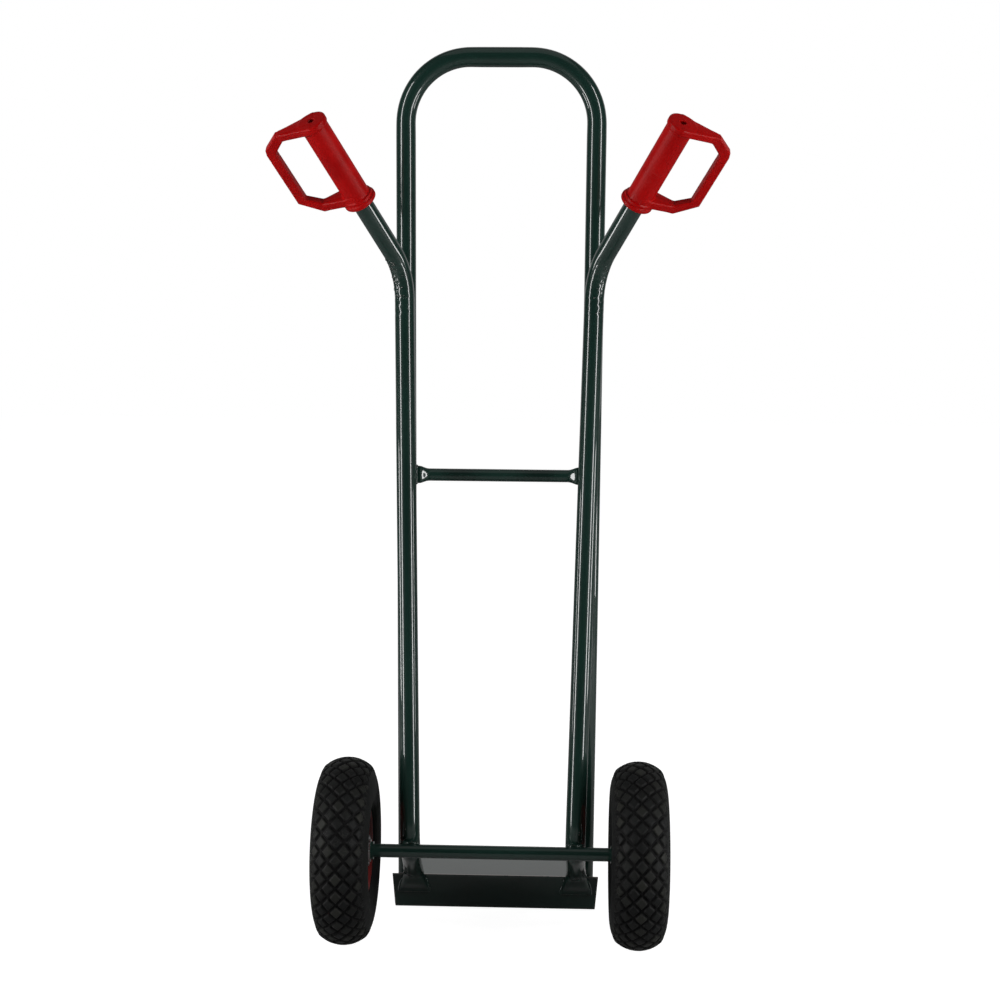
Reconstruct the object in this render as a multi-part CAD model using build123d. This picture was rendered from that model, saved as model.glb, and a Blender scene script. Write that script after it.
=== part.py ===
# Two-wheeled hand truck: loop frame, two bent side tubes with guarded grips, toe plate, axle and
# two pneumatic wheels.  Millimetres.  +X is the operator's right, +Y the load side, +Z up.
# The origin is the middle of the toe plate's underside, on the floor.
import os
from math import cos, radians, sin, sqrt, tan

from build123d import *

os.makedirs("parts", exist_ok=True)

# ---- frame tubes ------------------------------------------------------------------------------
tube_od = 28.0
tube_wall = 2.0
truck_height = 1253.0          # floor to the top of the loop
loop_corner_r = 92.0           # centre line radius of the loop's two bends
leg_spread_low = 131.0         # loop leg centre to the middle plane, at the floor
leg_spread_high = 135.6        # the same, at the height of the loop's top
leg_end_gap = 8.0              # loop leg ends above the toe plate's upper face
weld_gap = 0.1                 # pieces that are welded side by side
full_round = 0.98              # corner radius of a section, as a share of its half thickness
least_slit = 0.6               # hollow left inside a tube that is pressed flat

# ---- side tubes -------------------------------------------------------------------------------
side_spread_low = 116.4        # side tube centre to the middle plane, at the lower bend
foot_spread = 120.0            # the same, at the flattened foot
side_meets_leg_z = 899.0       # height where the side tube is welded to the loop leg
side_gap = 1.0                 # from there the bend still comes closer by most of this
lower_bend_z = 132.0           # corner of the bend at the axle
lower_bend_r = 54.0
foot_kick = 104.3              # how far the foot's bend is forward of the lower bend's corner
foot_bend_z = 62.0             # corner of the bend above the foot
foot_bottom_z = 27.0
foot_flat_top_z = 32.0         # the tube is fully flat from its end up to here
foot_width = 43.0
foot_thickness = 4.6
foot_margin = 0.8              # the pressed part stands this much off the flange's plane
foot_sections = [              # width and thickness of the tube on its way to the flat foot
    (29.0, 27.0),              # where the pressing starts
    (30.0, 24.5),              # at the bend above the foot
    (34.8, 16.0),              # half way down to the flat end
]
foot_press_run = 20.0          # the pressing starts this far before the bend
foot_half_way_z = 45.5
handle_bend_r = 85.0
handle_splay = 29.4            # degrees from upright, seen from behind
handle_rake = 39.8             # degrees from upright, seen from the side
handle_reach = 275.6           # corner of the handle's bend to the end of the grip

# ---- cross bar --------------------------------------------------------------------------------
bar_od = 18.0
bar_wall = 1.5
bar_z = 646.0
bar_flat_height = 25.5
bar_flat_thickness = 6.0
bar_flat_length = 19.0         # over this length the round bar turns into its flat end
bar_flat_core = 20.5           # height of the slit left inside the flat end
bar_flat_slit = 2.6
bar_press_share = 0.75         # share of that length over which the section still changes

# ---- toe plate --------------------------------------------------------------------------------
plate_depth = 250.0
plate_thickness = 4.0
plate_half_width = 148.0       # at the bend between the plate and its flange
plate_taper = 5.0              # degrees, on each side
plate_corner_r = 18.0
plate_bend_r = 4.0             # inside radius
flange_height = 51.5

# ---- axle and its small parts -----------------------------------------------------------------
axle_d = 19.0
wheel_track_half = 204.7       # middle plane to the wheel's centre
washer_t = 2.0
washer_r = 16.0
collar_length = 4.0
collar_r = 12.5
pin_d = 3.0
pin_hole_d = 3.5
pin_eye_r = 3.2                # centre line radius of the split pin's eye
pin_leg_reach = 7.0            # split pin leg below the axle
axle_end_reach = 5.0           # split pin centre to the axle's end
axle_chamfer = 1.0
turn_gap = 0.3                 # faces of turning pieces beside still ones
slip_gap = 0.05                # radial, pieces pushed or slid on to each other

# ---- wheels -----------------------------------------------------------------------------------
wheel_r = 130.0
tyre_half_width = 40.15
tyre_widest_below = 40.0       # the tyre is widest this far below its tread
tyre_shoulder = (31.6, 12.0)   # from the wheel's centre, and below the tread
tyre_flank_low_x = 32.5
tyre_flank_step = 1.0
tyre_wall = 6.0
tread_wall = 10.0
cavity_shoulder_in = (6.1, 7.0)  # from the tyre's shoulder inwards
cavity_low_x = 21.0
bead_fit = 0.2                 # between the rim and the tyre's bead
lip_clearance = 0.5            # between the rim's lip and the tyre's flank
hub_length = 64.0
hub_r = 21.5
hub_core_r = 17.0
bearing_r = 19.0
bearing_width = 11.0
ball_r = 2.9
ball_ring_r = 14.25            # axle centre to ball centre
ball_count = 8
race_height = 1.9              # ball centre to the rim of each raceway
rim_sheet = 2.0
rim_seat_r = 50.8              # tyre bead seat
rim_lip_r = 60.0
rim_seat_half = 26.0           # wheel centre to the inside of the rim's lip
rim_lip_reach = 5.0
rim_well_r = 48.0
rim_well_half = 11.7
rim_slope_run = 2.0            # along the axle, from the well up to the bead seat
rim_slope_shift = 0.8          # the same slope on the sheet's inner face lies this far outward
bead_half = 15.0               # wheel centre to the bead's toe
bolt_d = 7.9
bolt_hole_d = 8.5
bolt_circle_r = 34.0
bolt_count = 4
bolt_flats = 13.0
bolt_head_t = 5.3
nut_t = 6.5
nut_hole_d = 8.0
bolt_overhang = 2.0            # thread beyond the nut
valve_r = 3.9
valve_hole_r = 4.2
valve_length = 26.0
valve_tilt = 45.0              # degrees from the wheel's plane
valve_cap_r = 4.6
valve_cap_length = 9.0
valve_cap_overlap = 7.0        # length of stem inside its cap
valve_root_depth = 4.0         # the hole in the rim starts this far inside the tube
tube_floor_step = 1.0          # inner tube's floor above the bead seat
inner_tube_wall = 2.0
inner_tube_gap = 0.4

# ---- grips ------------------------------------------------------------------------------------
grip_length = 142.0
grip_r = 18.2
grip_cap_r = 20.0
grip_cap_t = 9.0
grip_end_wall = 10.0
grip_hole_r = 5.0
grip_collar_r = 23.3
grip_collar_t = 6.0
grip_step_r = 20.9
grip_step_t = 5.0
guard_reach = 79.5             # grip axis to the guard's outer face
guard_bar_t = 13.0
guard_half_depth = 6.5
guard_corner_reach = 55.5      # the guard's arms run straight out to here
guard_corner_rise = 20.0       # length of the cut corner along the grip
guard_top_arm_t = 12.0
guard_low_arm_t = 15.0
guard_low_edge = 138.0         # end face of the grip to the lower arm's outer face
guard_root_half = 19.0         # half depth of each arm beside the sleeve
guard_edge_r = 2.0
guard_low_corner_share = 1.4   # the lower cut corners are longer than the upper one by this
guard_bevel = 3.0              # the lower outer corner and both arm plates are set in by this
guard_top_slope = 1.5
guard_inner_corners = (8.0, 5.0, 9.0)  # inner corners set in: top arm, bar's top, low arm
guard_arm_end = 4.0            # the arms' taper ends this far before the corner

# ---- weld beads -------------------------------------------------------------------------------
bead_r = 3.0
fine_bead_r = 2.4
top_bead_r = 3.9
axle_bead_length = 20.0
axle_bead_offset = 6.0         # line where axle and tube touch to the middle of each bead
leg_bead_length = 34.0
leg_bead_spread = 8.0          # middle of the leg to the middle of each bead
leg_bead_inset = 1.5           # bead's middle line in front of the flange
foot_bead_inset = 1.0          # bead's middle line behind the flange
top_bead_length = 46.0
top_bead_spread = 9.0
bar_bead_inset = 1.0           # bead's middle line off the flat end's face, and short of its height
least_bead_volume = 20.0       # smaller crumbs are left out

tube_r = tube_od / 2
axle_r = axle_d / 2
axle_z = wheel_r
flange_rear_y = -plate_depth / 2
flange_front_y = flange_rear_y + plate_thickness
leg_y = flange_front_y + weld_gap + tube_r
loop_top_z = truck_height - tube_r
foot_y = flange_rear_y - weld_gap - foot_thickness / 2
leg_bottom_z = plate_thickness + leg_end_gap


def leg_x(z):
    """Distance of a loop leg's centre line from the middle plane at height z."""
    return leg_spread_low + (leg_spread_high - leg_spread_low) * z / loop_top_z


def mirrored(shape):
    """The same piece on the other side of the truck."""
    return mirror(shape, about=Plane.YZ)


def rounded_path(corners, radii):
    """Straight runs through the corners with an arc of the given radius at each inner corner."""
    edges = []
    start = corners[0]
    for before, corner, after, radius in zip(corners, corners[1:], corners[2:], radii):
        back = (before - corner).normalized()
        ahead = (after - corner).normalized()
        half_angle = radians(back.get_angle(ahead)) / 2
        cut = radius / tan(half_angle)
        centre = corner + (back + ahead).normalized() * (radius / sin(half_angle))
        middle = centre + (corner - centre).normalized() * radius
        arc_start = corner + back * cut
        if (arc_start - start).length > 0.01:
            edges.append(Line(start, arc_start))
        edges.append(ThreePointArc(arc_start, middle, corner + ahead * cut))
        start = corner + ahead * cut
    edges.append(Line(start, corners[-1]))
    return Wire(edges)


def pipe(path, radius):
    """Solid round bar along a path."""
    start = Plane(origin=path @ 0, z_dir=path % 0)
    return sweep(start * Circle(radius), path=path)


def turned(points):
    """Ring turned about the X axis from an outline of (x, radius) points."""
    outline = make_face(Polyline(*points, close=True))
    return revolve(outline, axis=Axis.X)


def rod(start, end, radius):
    """Round rod between two points."""
    along = end - start
    return Plane(origin=start, z_dir=along) * Cylinder(
        radius, along.length, align=(Align.CENTER, Align.CENTER, Align.MIN)
    )


def bead(start, end, radius):
    """Weld bead: a rod with round ends."""
    return rod(start, end, radius) + Pos(*start) * Sphere(radius) + Pos(*end) * Sphere(radius)


def disc(x_low, x_high, r_outer, r_inner):
    """Flat ring about the X axis."""
    return turned([(x_low, r_inner), (x_high, r_inner), (x_high, r_outer), (x_low, r_outer)])


# ---- loop tube --------------------------------------------------------------------------------
loop_corners = [
    Vector(-leg_x(leg_bottom_z), leg_y, leg_bottom_z),
    Vector(-leg_x(loop_top_z), leg_y, loop_top_z),
    Vector(leg_x(loop_top_z), leg_y, loop_top_z),
    Vector(leg_x(leg_bottom_z), leg_y, leg_bottom_z),
]
loop_path = rounded_path(loop_corners, [loop_corner_r, loop_corner_r])
loop_solid = pipe(loop_path, tube_r)
loop_tube = loop_solid - pipe(loop_path, tube_r - tube_wall)

# ---- left side tube ---------------------------------------------------------------------------
foot_bend_y = flange_rear_y - foot_margin - foot_sections[1][1] / 2
foot_corner = Vector(-foot_spread, foot_bend_y, foot_bend_z)
lower_corner = Vector(-side_spread_low, foot_bend_y - foot_kick, lower_bend_z)
meeting_point = Vector(
    -leg_x(side_meets_leg_z), leg_y - tube_od - side_gap, side_meets_leg_z
)
run_up = (meeting_point - lower_corner).normalized()
handle_out = Vector(-tan(radians(handle_splay)), -tan(radians(handle_rake)), 1).normalized()
handle_turn = radians(run_up.get_angle(handle_out))
handle_corner = meeting_point + run_up * (handle_bend_r * tan(handle_turn / 2))
grip_end = handle_corner + handle_out * handle_reach
tube_end = grip_end - handle_out * (grip_end_wall + weld_gap)

# The bend at the axle: its centre, and where it hands over to the flattened part.
run_down = (foot_corner - lower_corner).normalized()
bend_half = radians(run_up.get_angle(run_down)) / 2
bend_centre = lower_corner + (run_up + run_down).normalized() * (lower_bend_r / sin(bend_half))
round_end = lower_corner + run_down * (lower_bend_r / tan(bend_half))

# The axle lies against the rear of that bend.
axle_touch = lower_bend_r + tube_r + axle_r + weld_gap
axle_y = bend_centre.Y - sqrt(axle_touch**2 - (bend_centre.Z - axle_z) ** 2)

upper_path = rounded_path(
    [round_end, lower_corner, handle_corner, tube_end], [lower_bend_r, handle_bend_r]
)


def squashed(centre, along, width, thickness):
    """Outline of the tube where it is pressed flat, square to the direction along."""
    corner_r = min(width, thickness) / 2 * full_round
    across = Plane(origin=centre, x_dir=(1, 0, 0), z_dir=along)
    return across * RectangleRounded(width, thickness, corner_r)


down = Vector(0, 0, -1)
press_start = foot_corner - (foot_corner - round_end).normalized() * foot_press_run
half_way_y = flange_rear_y - foot_margin - foot_sections[2][1] / 2
foot_places = [
    (press_start, run_down),
    (foot_corner, (run_down + down).normalized()),
    (Vector(-foot_spread, half_way_y, foot_half_way_z), down),
]


def foot_loft(wall):
    """Round tube end pressed into a flat foot; wall shrinks the outline to the tube's inside."""
    shrink = 2 * wall
    slit = max(foot_thickness - shrink, least_slit)
    sections = [squashed(round_end, run_down, tube_od - shrink, tube_od - shrink)]
    for (place, along), (width, thickness) in zip(foot_places, foot_sections):
        sections.append(squashed(place, along, width - shrink, thickness - shrink))
    flat_start = Vector(-foot_spread, foot_y, foot_flat_top_z)
    sections.append(squashed(flat_start, down, foot_width - shrink, slit))
    return loft(sections, ruled=True)


foot_flat = Pos(-foot_spread, foot_y, foot_bottom_z) * extrude(
    RectangleRounded(foot_width, foot_thickness, foot_thickness / 2 * full_round),
    foot_flat_top_z - foot_bottom_z,
)
upper_solid = pipe(upper_path, tube_r)
side_solid = upper_solid + foot_loft(0) + foot_flat
left_side_tube = side_solid - pipe(upper_path, tube_r - tube_wall) - foot_loft(tube_wall)
right_side_tube = mirrored(left_side_tube)

# ---- cross bar --------------------------------------------------------------------------------
bar_half = leg_x(bar_z)
bar_straight = bar_half - tube_r - bar_flat_length


def bar_section(x, width, height):
    """Outline of the cross bar at a distance x from the middle plane."""
    return Plane(origin=(x, leg_y, bar_z), x_dir=(0, 1, 0), z_dir=(1, 0, 0)) * RectangleRounded(
        width, height, min(width, height) / 2 * full_round
    )


def bar_shape(round_d, flat_height, flat_thickness):
    """Cross bar outline as a solid: round middle, both ends pressed flat."""
    shape = Pos(0, leg_y, bar_z) * Rot(0, 90, 0) * Cylinder(round_d / 2, 2 * bar_straight)
    sections = [
        bar_section(bar_straight, round_d, round_d),
        bar_section(bar_straight + bar_flat_length * bar_press_share, flat_thickness, flat_height),
        bar_section(bar_half - tube_r / 2, flat_thickness, flat_height),
    ]
    end = loft(sections, ruled=True)
    return shape + end + mirrored(end)


cross_bar = bar_shape(bar_od, bar_flat_height, bar_flat_thickness)
cross_bar -= bar_shape(bar_od - 2 * bar_wall, bar_flat_core, bar_flat_slit)
cross_bar -= pipe(loop_path, tube_r + weld_gap)

# ---- toe plate --------------------------------------------------------------------------------
sheet_line = FilletPolyline(
    (flange_rear_y, flange_height),
    (flange_rear_y, 0),
    (plate_depth / 2, 0),
    radius=plate_bend_r + plate_thickness,
)
inner_line = FilletPolyline(
    (flange_front_y, flange_height),
    (flange_front_y, plate_thickness),
    (plate_depth / 2, plate_thickness),
    radius=plate_bend_r,
)
sheet_ends = [
    Line((flange_rear_y, flange_height), (flange_front_y, flange_height)),
    Line((plate_depth / 2, 0), (plate_depth / 2, plate_thickness)),
]
sheet_profile = make_face(Wire(sheet_line.edges() + inner_line.edges() + sheet_ends))
plate_blank_half = plate_half_width + flange_height
sheet = extrude(Plane.YZ * sheet_profile, plate_blank_half, both=True)

taper = tan(radians(plate_taper))
front_half = plate_half_width - (plate_depth - plate_thickness) * taper
top_half = plate_half_width + flange_height * taper
plan = Polyline(
    (-plate_blank_half, flange_rear_y),
    (-plate_blank_half, flange_front_y),
    (-plate_half_width, flange_front_y),
    (-front_half, plate_depth / 2),
    (front_half, plate_depth / 2),
    (plate_half_width, flange_front_y),
    (plate_blank_half, flange_front_y),
    (plate_blank_half, flange_rear_y),
    close=True,
)
plan_face = make_face(plan)
front_corners = plan_face.vertices().sort_by(Axis.Y)[-2:]
plan_face = fillet(front_corners, plate_corner_r)
elevation = make_face(
    Polyline(
        (-plate_half_width, 0),
        (plate_half_width, 0),
        (top_half, flange_height),
        (-top_half, flange_height),
        close=True,
    )
)
toe_plate = sheet & extrude(plan_face, flange_height)
toe_plate &= extrude(Plane.XZ * elevation, plate_depth, both=True)

# ---- axle and its stops -----------------------------------------------------------------------
hub_inner_x = wheel_track_half - hub_length / 2
hub_outer_x = wheel_track_half + hub_length / 2
inner_washer_x = hub_inner_x - turn_gap - washer_t
collar_x = inner_washer_x - collar_length
outer_washer_x = hub_outer_x + turn_gap
pin_x = outer_washer_x + washer_t + pin_hole_d / 2 + turn_gap
axle_half = pin_x + axle_end_reach

axle_at = Pos(0, axle_y, axle_z)
axle = Rot(0, 90, 0) * Cylinder(axle_r, 2 * axle_half)
axle = chamfer(axle.edges().filter_by(GeomType.CIRCLE), axle_chamfer)
for side in (-1, 1):
    axle -= Pos(side * pin_x, 0, 0) * Cylinder(pin_hole_d / 2, axle_d + 2)
axle = axle_at * axle

right_collar = disc(collar_x, inner_washer_x, collar_r, axle_r + slip_gap)
right_inner_washer = disc(
    inner_washer_x, inner_washer_x + washer_t, washer_r, axle_r + slip_gap
)
right_outer_washer = disc(
    outer_washer_x, outer_washer_x + washer_t, washer_r, axle_r + slip_gap
)
pin_top = axle_r + pin_eye_r + pin_d / 2
right_pin = Pos(pin_x, 0, 0) * (
    rod(Vector(0, 0, -axle_r - pin_leg_reach), Vector(0, 0, axle_r + pin_d / 2), pin_d / 2)
    + Pos(0, 0, pin_top) * Rot(0, 90, 0) * Torus(pin_eye_r, pin_d / 2)
)

# ---- right wheel, built about its own centre --------------------------------------------------


def bearing_ring(r_inner, r_outer, groove_edge_r):
    """One bearing ring with its raceway cut by the balls' own circle."""
    half = bearing_width / 2
    ring = disc(-half, half, r_outer, r_inner)
    return ring - Rot(0, 90, 0) * Torus(ball_ring_r, ball_r + slip_gap)


inner_ring = bearing_ring(axle_r + slip_gap, ball_ring_r - race_height, ball_ring_r)
outer_ring = bearing_ring(ball_ring_r + race_height, bearing_r - slip_gap, ball_ring_r)
balls = [
    Rot(360 * n / ball_count, 0, 0) * Pos(0, ball_ring_r, 0) * Sphere(ball_r)
    for n in range(ball_count)
]
bearing_x = hub_length / 2 - bearing_width / 2
bearing_places = [Pos(-bearing_x, 0, 0), Pos(bearing_x, 0, 0)]
inner_rings = Compound([place * inner_ring for place in bearing_places])
outer_rings = Compound([place * outer_ring for place in bearing_places])
bearing_balls = Compound([place * ball for place in bearing_places for ball in balls])

hub_half = hub_length / 2
seat_end = hub_half - bearing_width - slip_gap
hub_tube = turned(
    [
        (-hub_half, bearing_r),
        (-seat_end, bearing_r),
        (-seat_end, hub_core_r),
        (seat_end, hub_core_r),
        (seat_end, bearing_r),
        (hub_half, bearing_r),
        (hub_half, hub_r),
        (-hub_half, hub_r),
    ]
)

lip_outer_x = rim_seat_half + rim_lip_reach
rim_half = turned(
    [
        (0, hub_r + slip_gap),
        (rim_sheet, hub_r + slip_gap),
        (rim_sheet, rim_well_r - rim_sheet),
        (rim_well_half + rim_slope_shift, rim_well_r - rim_sheet),
        (rim_well_half + rim_slope_run + rim_slope_shift, rim_seat_r - rim_sheet),
        (rim_seat_half + rim_sheet, rim_seat_r - rim_sheet),
        (rim_seat_half + rim_sheet, rim_lip_r - rim_sheet),
        (lip_outer_x, rim_lip_r - rim_sheet),
        (lip_outer_x, rim_lip_r),
        (rim_seat_half + rim_sheet / 2, rim_lip_r),
        (rim_seat_half, rim_lip_r - rim_sheet / 2),
        (rim_seat_half, rim_seat_r),
        (rim_well_half + rim_slope_run, rim_seat_r),
        (rim_well_half, rim_well_r),
        (0, rim_well_r),
    ]
)
bolt_spots = [
    Rot(360 * n / bolt_count + 45, 0, 0) * Pos(0, bolt_circle_r, 0) * Rot(0, 90, 0)
    for n in range(bolt_count)
]
for spot in bolt_spots:
    rim_half -= spot * Cylinder(bolt_hole_d / 2, 6 * rim_sheet)

valve_out = Vector(sin(radians(valve_tilt)), -cos(radians(valve_tilt)), 0)
tube_floor_r = rim_seat_r + tube_floor_step
valve_root = Vector(
    rim_well_half / 2, tube_floor_r + inner_tube_gap - valve_r * sin(radians(valve_tilt)), 0
)
valve_tip = valve_root + valve_out * valve_length
rim_outer_half = rim_half - rod(valve_root - valve_out * valve_root_depth, valve_tip, valve_hole_r)
rim_inner_half = mirrored(rim_half)

valve_cap_start = valve_tip - valve_out * valve_cap_overlap
valve_stem = rod(valve_root, valve_tip, valve_r)
valve_cap = rod(valve_cap_start, valve_cap_start + valve_out * valve_cap_length, valve_cap_r)
valve_cap -= rod(valve_cap_start - valve_out, valve_tip + valve_out * slip_gap, valve_r + slip_gap)

hex_blank = RegularPolygon(bolt_flats / 2, 6, major_radius=False)
bolt_head = Pos(0, 0, rim_sheet) * extrude(hex_blank, bolt_head_t)
bolt_shank = Pos(0, 0, -rim_sheet - nut_t - bolt_overhang) * Cylinder(
    bolt_d / 2,
    2 * rim_sheet + nut_t + bolt_overhang,
    align=(Align.CENTER, Align.CENTER, Align.MIN),
)
bolt = bolt_head + bolt_shank
nut = Pos(0, 0, -rim_sheet - nut_t) * extrude(hex_blank, nut_t)
nut -= Pos(0, 0, -rim_sheet - nut_t / 2) * Cylinder(nut_hole_d / 2, nut_t + 2)
rim_bolts = Compound([spot * bolt for spot in bolt_spots])
rim_nuts = Compound([spot * nut for spot in bolt_spots])

bead_bore_r = rim_seat_r + bead_fit
bead_outer_x = rim_seat_half - bead_fit
flank_r = rim_lip_r + lip_clearance
widest_r = wheel_r - tyre_widest_below
shoulder = (tyre_shoulder[0], wheel_r - tyre_shoulder[1])
flank_low = (tyre_flank_low_x, flank_r + tyre_flank_step)
cavity_shoulder = (shoulder[0] - cavity_shoulder_in[0], shoulder[1] - cavity_shoulder_in[1])
cavity_low = (cavity_low_x, flank_r + 2 * tyre_flank_step)
cavity_floor_r = rim_well_r + 1
carcass = make_face(
    Wire(
        [
            Line((-bead_half, bead_bore_r), (-bead_outer_x, bead_bore_r)),
            Line((-bead_outer_x, bead_bore_r), (-bead_outer_x, flank_r)),
            Line((-bead_outer_x, flank_r), (-flank_low[0], flank_low[1])),
            ThreePointArc(
                (-flank_low[0], flank_low[1]),
                (-tyre_half_width, widest_r),
                (-shoulder[0], shoulder[1]),
            ),
            ThreePointArc((-shoulder[0], shoulder[1]), (0, wheel_r), shoulder),
            ThreePointArc(shoulder, (tyre_half_width, widest_r), flank_low),
            Line(flank_low, (bead_outer_x, flank_r)),
            Line((bead_outer_x, flank_r), (bead_outer_x, bead_bore_r)),
            Line((bead_outer_x, bead_bore_r), (bead_half, bead_bore_r)),
            Line((bead_half, bead_bore_r), (-bead_half, bead_bore_r)),
        ]
    )
)
cavity = make_face(
    Wire(
        [
            Line((-bead_half, cavity_floor_r), (-bead_half, flank_r)),
            Line((-bead_half, flank_r), (-cavity_low[0], cavity_low[1])),
            ThreePointArc(
                (-cavity_low[0], cavity_low[1]),
                (tyre_wall - tyre_half_width, widest_r),
                (-cavity_shoulder[0], cavity_shoulder[1]),
            ),
            ThreePointArc(
                (-cavity_shoulder[0], cavity_shoulder[1]), (0, wheel_r - tread_wall), cavity_shoulder
            ),
            ThreePointArc(cavity_shoulder, (tyre_half_width - tyre_wall, widest_r), cavity_low),
            Line(cavity_low, (bead_half, flank_r)),
            Line((bead_half, flank_r), (bead_half, cavity_floor_r)),
            Line((bead_half, cavity_floor_r), (-bead_half, cavity_floor_r)),
        ]
    )
)
tyre = revolve(carcass - cavity, axis=Axis.X)
tube_floor = Rectangle(2 * tyre_half_width, 40, align=(Align.CENTER, Align.MAX))
tube_room = cavity - Pos(0, tube_floor_r) * tube_floor
tube_face = offset(tube_room, -inner_tube_gap, kind=Kind.INTERSECTION)
tube_hollow = offset(tube_face, -inner_tube_wall, kind=Kind.INTERSECTION)
inner_tube = revolve(tube_face - tube_hollow, axis=Axis.X)

wheel_parts = {
    "tyre": tyre,
    "inner_tube": inner_tube,
    "rim_inner_half": rim_inner_half,
    "rim_outer_half": rim_outer_half,
    "hub_tube": hub_tube,
    "bearing_outer_rings": outer_rings,
    "bearing_balls": bearing_balls,
    "bearing_inner_rings": inner_rings,
    "rim_bolts": rim_bolts,
    "rim_nuts": rim_nuts,
    "valve_stem": valve_stem,
    "valve_cap": valve_cap,
}

# ---- left grip: x runs outward from the sleeve, z along the handle, 0 at the end face ---------
bar_inner = guard_reach - guard_bar_t
low_arm_inner = guard_low_edge - guard_low_arm_t
top_in, bar_in, low_in = guard_inner_corners
low_rise = guard_corner_rise * guard_low_corner_share
guard_outer = [
    (0, 0),
    (guard_corner_reach, 0),
    (guard_reach, -guard_corner_rise),
    (guard_reach, -guard_low_edge + low_rise),
    (guard_corner_reach - guard_bevel, -guard_low_edge + guard_bevel),
    (0, -guard_low_edge),
]
guard_inner = [
    (0, -guard_top_arm_t),
    (guard_corner_reach - top_in, -guard_top_arm_t + guard_top_slope),
    (bar_inner, -guard_corner_rise - bar_in),
    (bar_inner, -guard_low_edge + low_rise + guard_edge_r),
    (guard_corner_reach - low_in, -low_arm_inner),
    (0, -low_arm_inner),
]
guard_face = make_face(Polyline(*guard_outer, close=True))
guard_face -= make_face(Polyline(*guard_inner, close=True))
guard = extrude(Plane.XZ * guard_face, guard_half_depth, both=True)
arm_end = guard_corner_reach - guard_arm_end
arm_plan = make_face(
    Polyline(
        (0, guard_root_half),
        (arm_end, guard_half_depth),
        (arm_end, -guard_half_depth),
        (0, -guard_root_half),
        close=True,
    )
)
top_arm_t = guard_top_arm_t - guard_top_slope
low_arm_t = guard_low_arm_t - guard_bevel
top_arm = Pos(0, 0, -top_arm_t) * extrude(arm_plan, top_arm_t)
low_arm = Pos(0, 0, -guard_low_edge + guard_bevel) * extrude(arm_plan, low_arm_t)
to_top = (Align.CENTER, Align.CENTER, Align.MAX)
sleeve = Cylinder(grip_r, grip_length, align=to_top)
cap_disc = Cylinder(grip_cap_r, grip_cap_t, align=to_top)
cap_disc = fillet(cap_disc.edges().sort_by(Axis.Z)[-1], guard_edge_r)
collar_top = -grip_length + grip_collar_t
collar_disc = Pos(0, 0, collar_top) * Cylinder(grip_collar_r, grip_collar_t, align=to_top)
step_disc = Pos(0, 0, collar_top + grip_step_t) * Cylinder(
    grip_step_r, grip_step_t, align=to_top
)
grip = sleeve + guard + top_arm + low_arm + cap_disc + collar_disc + step_disc
grip -= Pos(0, 0, -grip_end_wall) * Cylinder(tube_r + slip_gap, grip_length, align=to_top)
grip -= Cylinder(grip_hole_r, 3 * grip_end_wall)
guard_out = Vector(-1, 0, 0) + handle_out * handle_out.X
left_grip = Plane(origin=grip_end, x_dir=guard_out, z_dir=handle_out) * grip
right_grip = mirrored(left_grip)

# ---- weld beads, left side first --------------------------------------------------------------
left_beads = []


def add_bead_pair(start, end, spread, radius):
    """Two equal beads, one to each side of the line from start to end."""
    for way in (-1, 1):
        left_beads.append(bead(start + spread * way, end + spread * way, radius))


to_bend = Vector(0, bend_centre.Y - axle_y, bend_centre.Z - axle_z).normalized()
axle_touch_point = Vector(-side_spread_low, axle_y, axle_z) + to_bend * axle_r
half_bead = Vector(axle_bead_length / 2, 0, 0)
beside_touch = to_bend.cross(Vector(1, 0, 0)) * axle_bead_offset
add_bead_pair(axle_touch_point - half_bead, axle_touch_point + half_bead, beside_touch, bead_r)

leg_bead_low = Vector(-leg_x(0), flange_front_y + leg_bead_inset, leg_bottom_z + bead_r)
leg_bead_high = leg_bead_low + Vector(0, 0, leg_bead_length)
add_bead_pair(leg_bead_low, leg_bead_high, Vector(leg_bead_spread, 0, 0), bead_r)

foot_bead_y = flange_rear_y - foot_bead_inset
for way in (-1, 1):
    corner_x = -foot_spread + way * foot_width / 2
    half_way_x = -foot_spread + way * foot_sections[2][0] / 2
    corner_low = Vector(corner_x, foot_bead_y, foot_bottom_z)
    corner_high = Vector(corner_x, foot_bead_y, foot_flat_top_z)
    left_beads.append(bead(corner_low, corner_high, fine_bead_r))
    left_beads.append(
        bead(corner_high, Vector(half_way_x, foot_bead_y, foot_half_way_z), fine_bead_r)
    )
foot_half = Vector(foot_width / 2, 0, 0)
foot_middle = Vector(-foot_spread, foot_bead_y, foot_bottom_z)
left_beads.append(bead(foot_middle - foot_half, foot_middle + foot_half, fine_bead_r))

top_bead_high = meeting_point + Vector(0, tube_r, 0)
top_bead_low = top_bead_high - Vector(0, 0, top_bead_length)
add_bead_pair(top_bead_low, top_bead_high, Vector(top_bead_spread, 0, 0), top_bead_r)

bar_end = Vector(-bar_half + tube_r, leg_y, bar_z)
bar_rise = Vector(0, 0, bar_flat_height / 2 - bar_bead_inset)
bar_bead_spread = Vector(0, bar_flat_thickness / 2 + bar_bead_inset, 0)
add_bead_pair(bar_end - bar_rise, bar_end + bar_rise, bar_bead_spread, fine_bead_r)


def trimmed(lump):
    """What is left of a bead outside the pieces that it joins, without crumbs."""
    kept = [lump]
    for neighbour in (loop_solid, side_solid, cross_bar, axle, toe_plate):
        cuts = [solid - neighbour for solid in kept]
        kept = [piece for cut in cuts if cut for piece in cut.solids()]
    return [piece for piece in kept if piece.volume > least_bead_volume]


left_welds = Compound([piece for lump in left_beads for piece in trimmed(lump)])
frame_welds = Compound(left_welds.solids() + mirrored(left_welds).solids())

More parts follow.
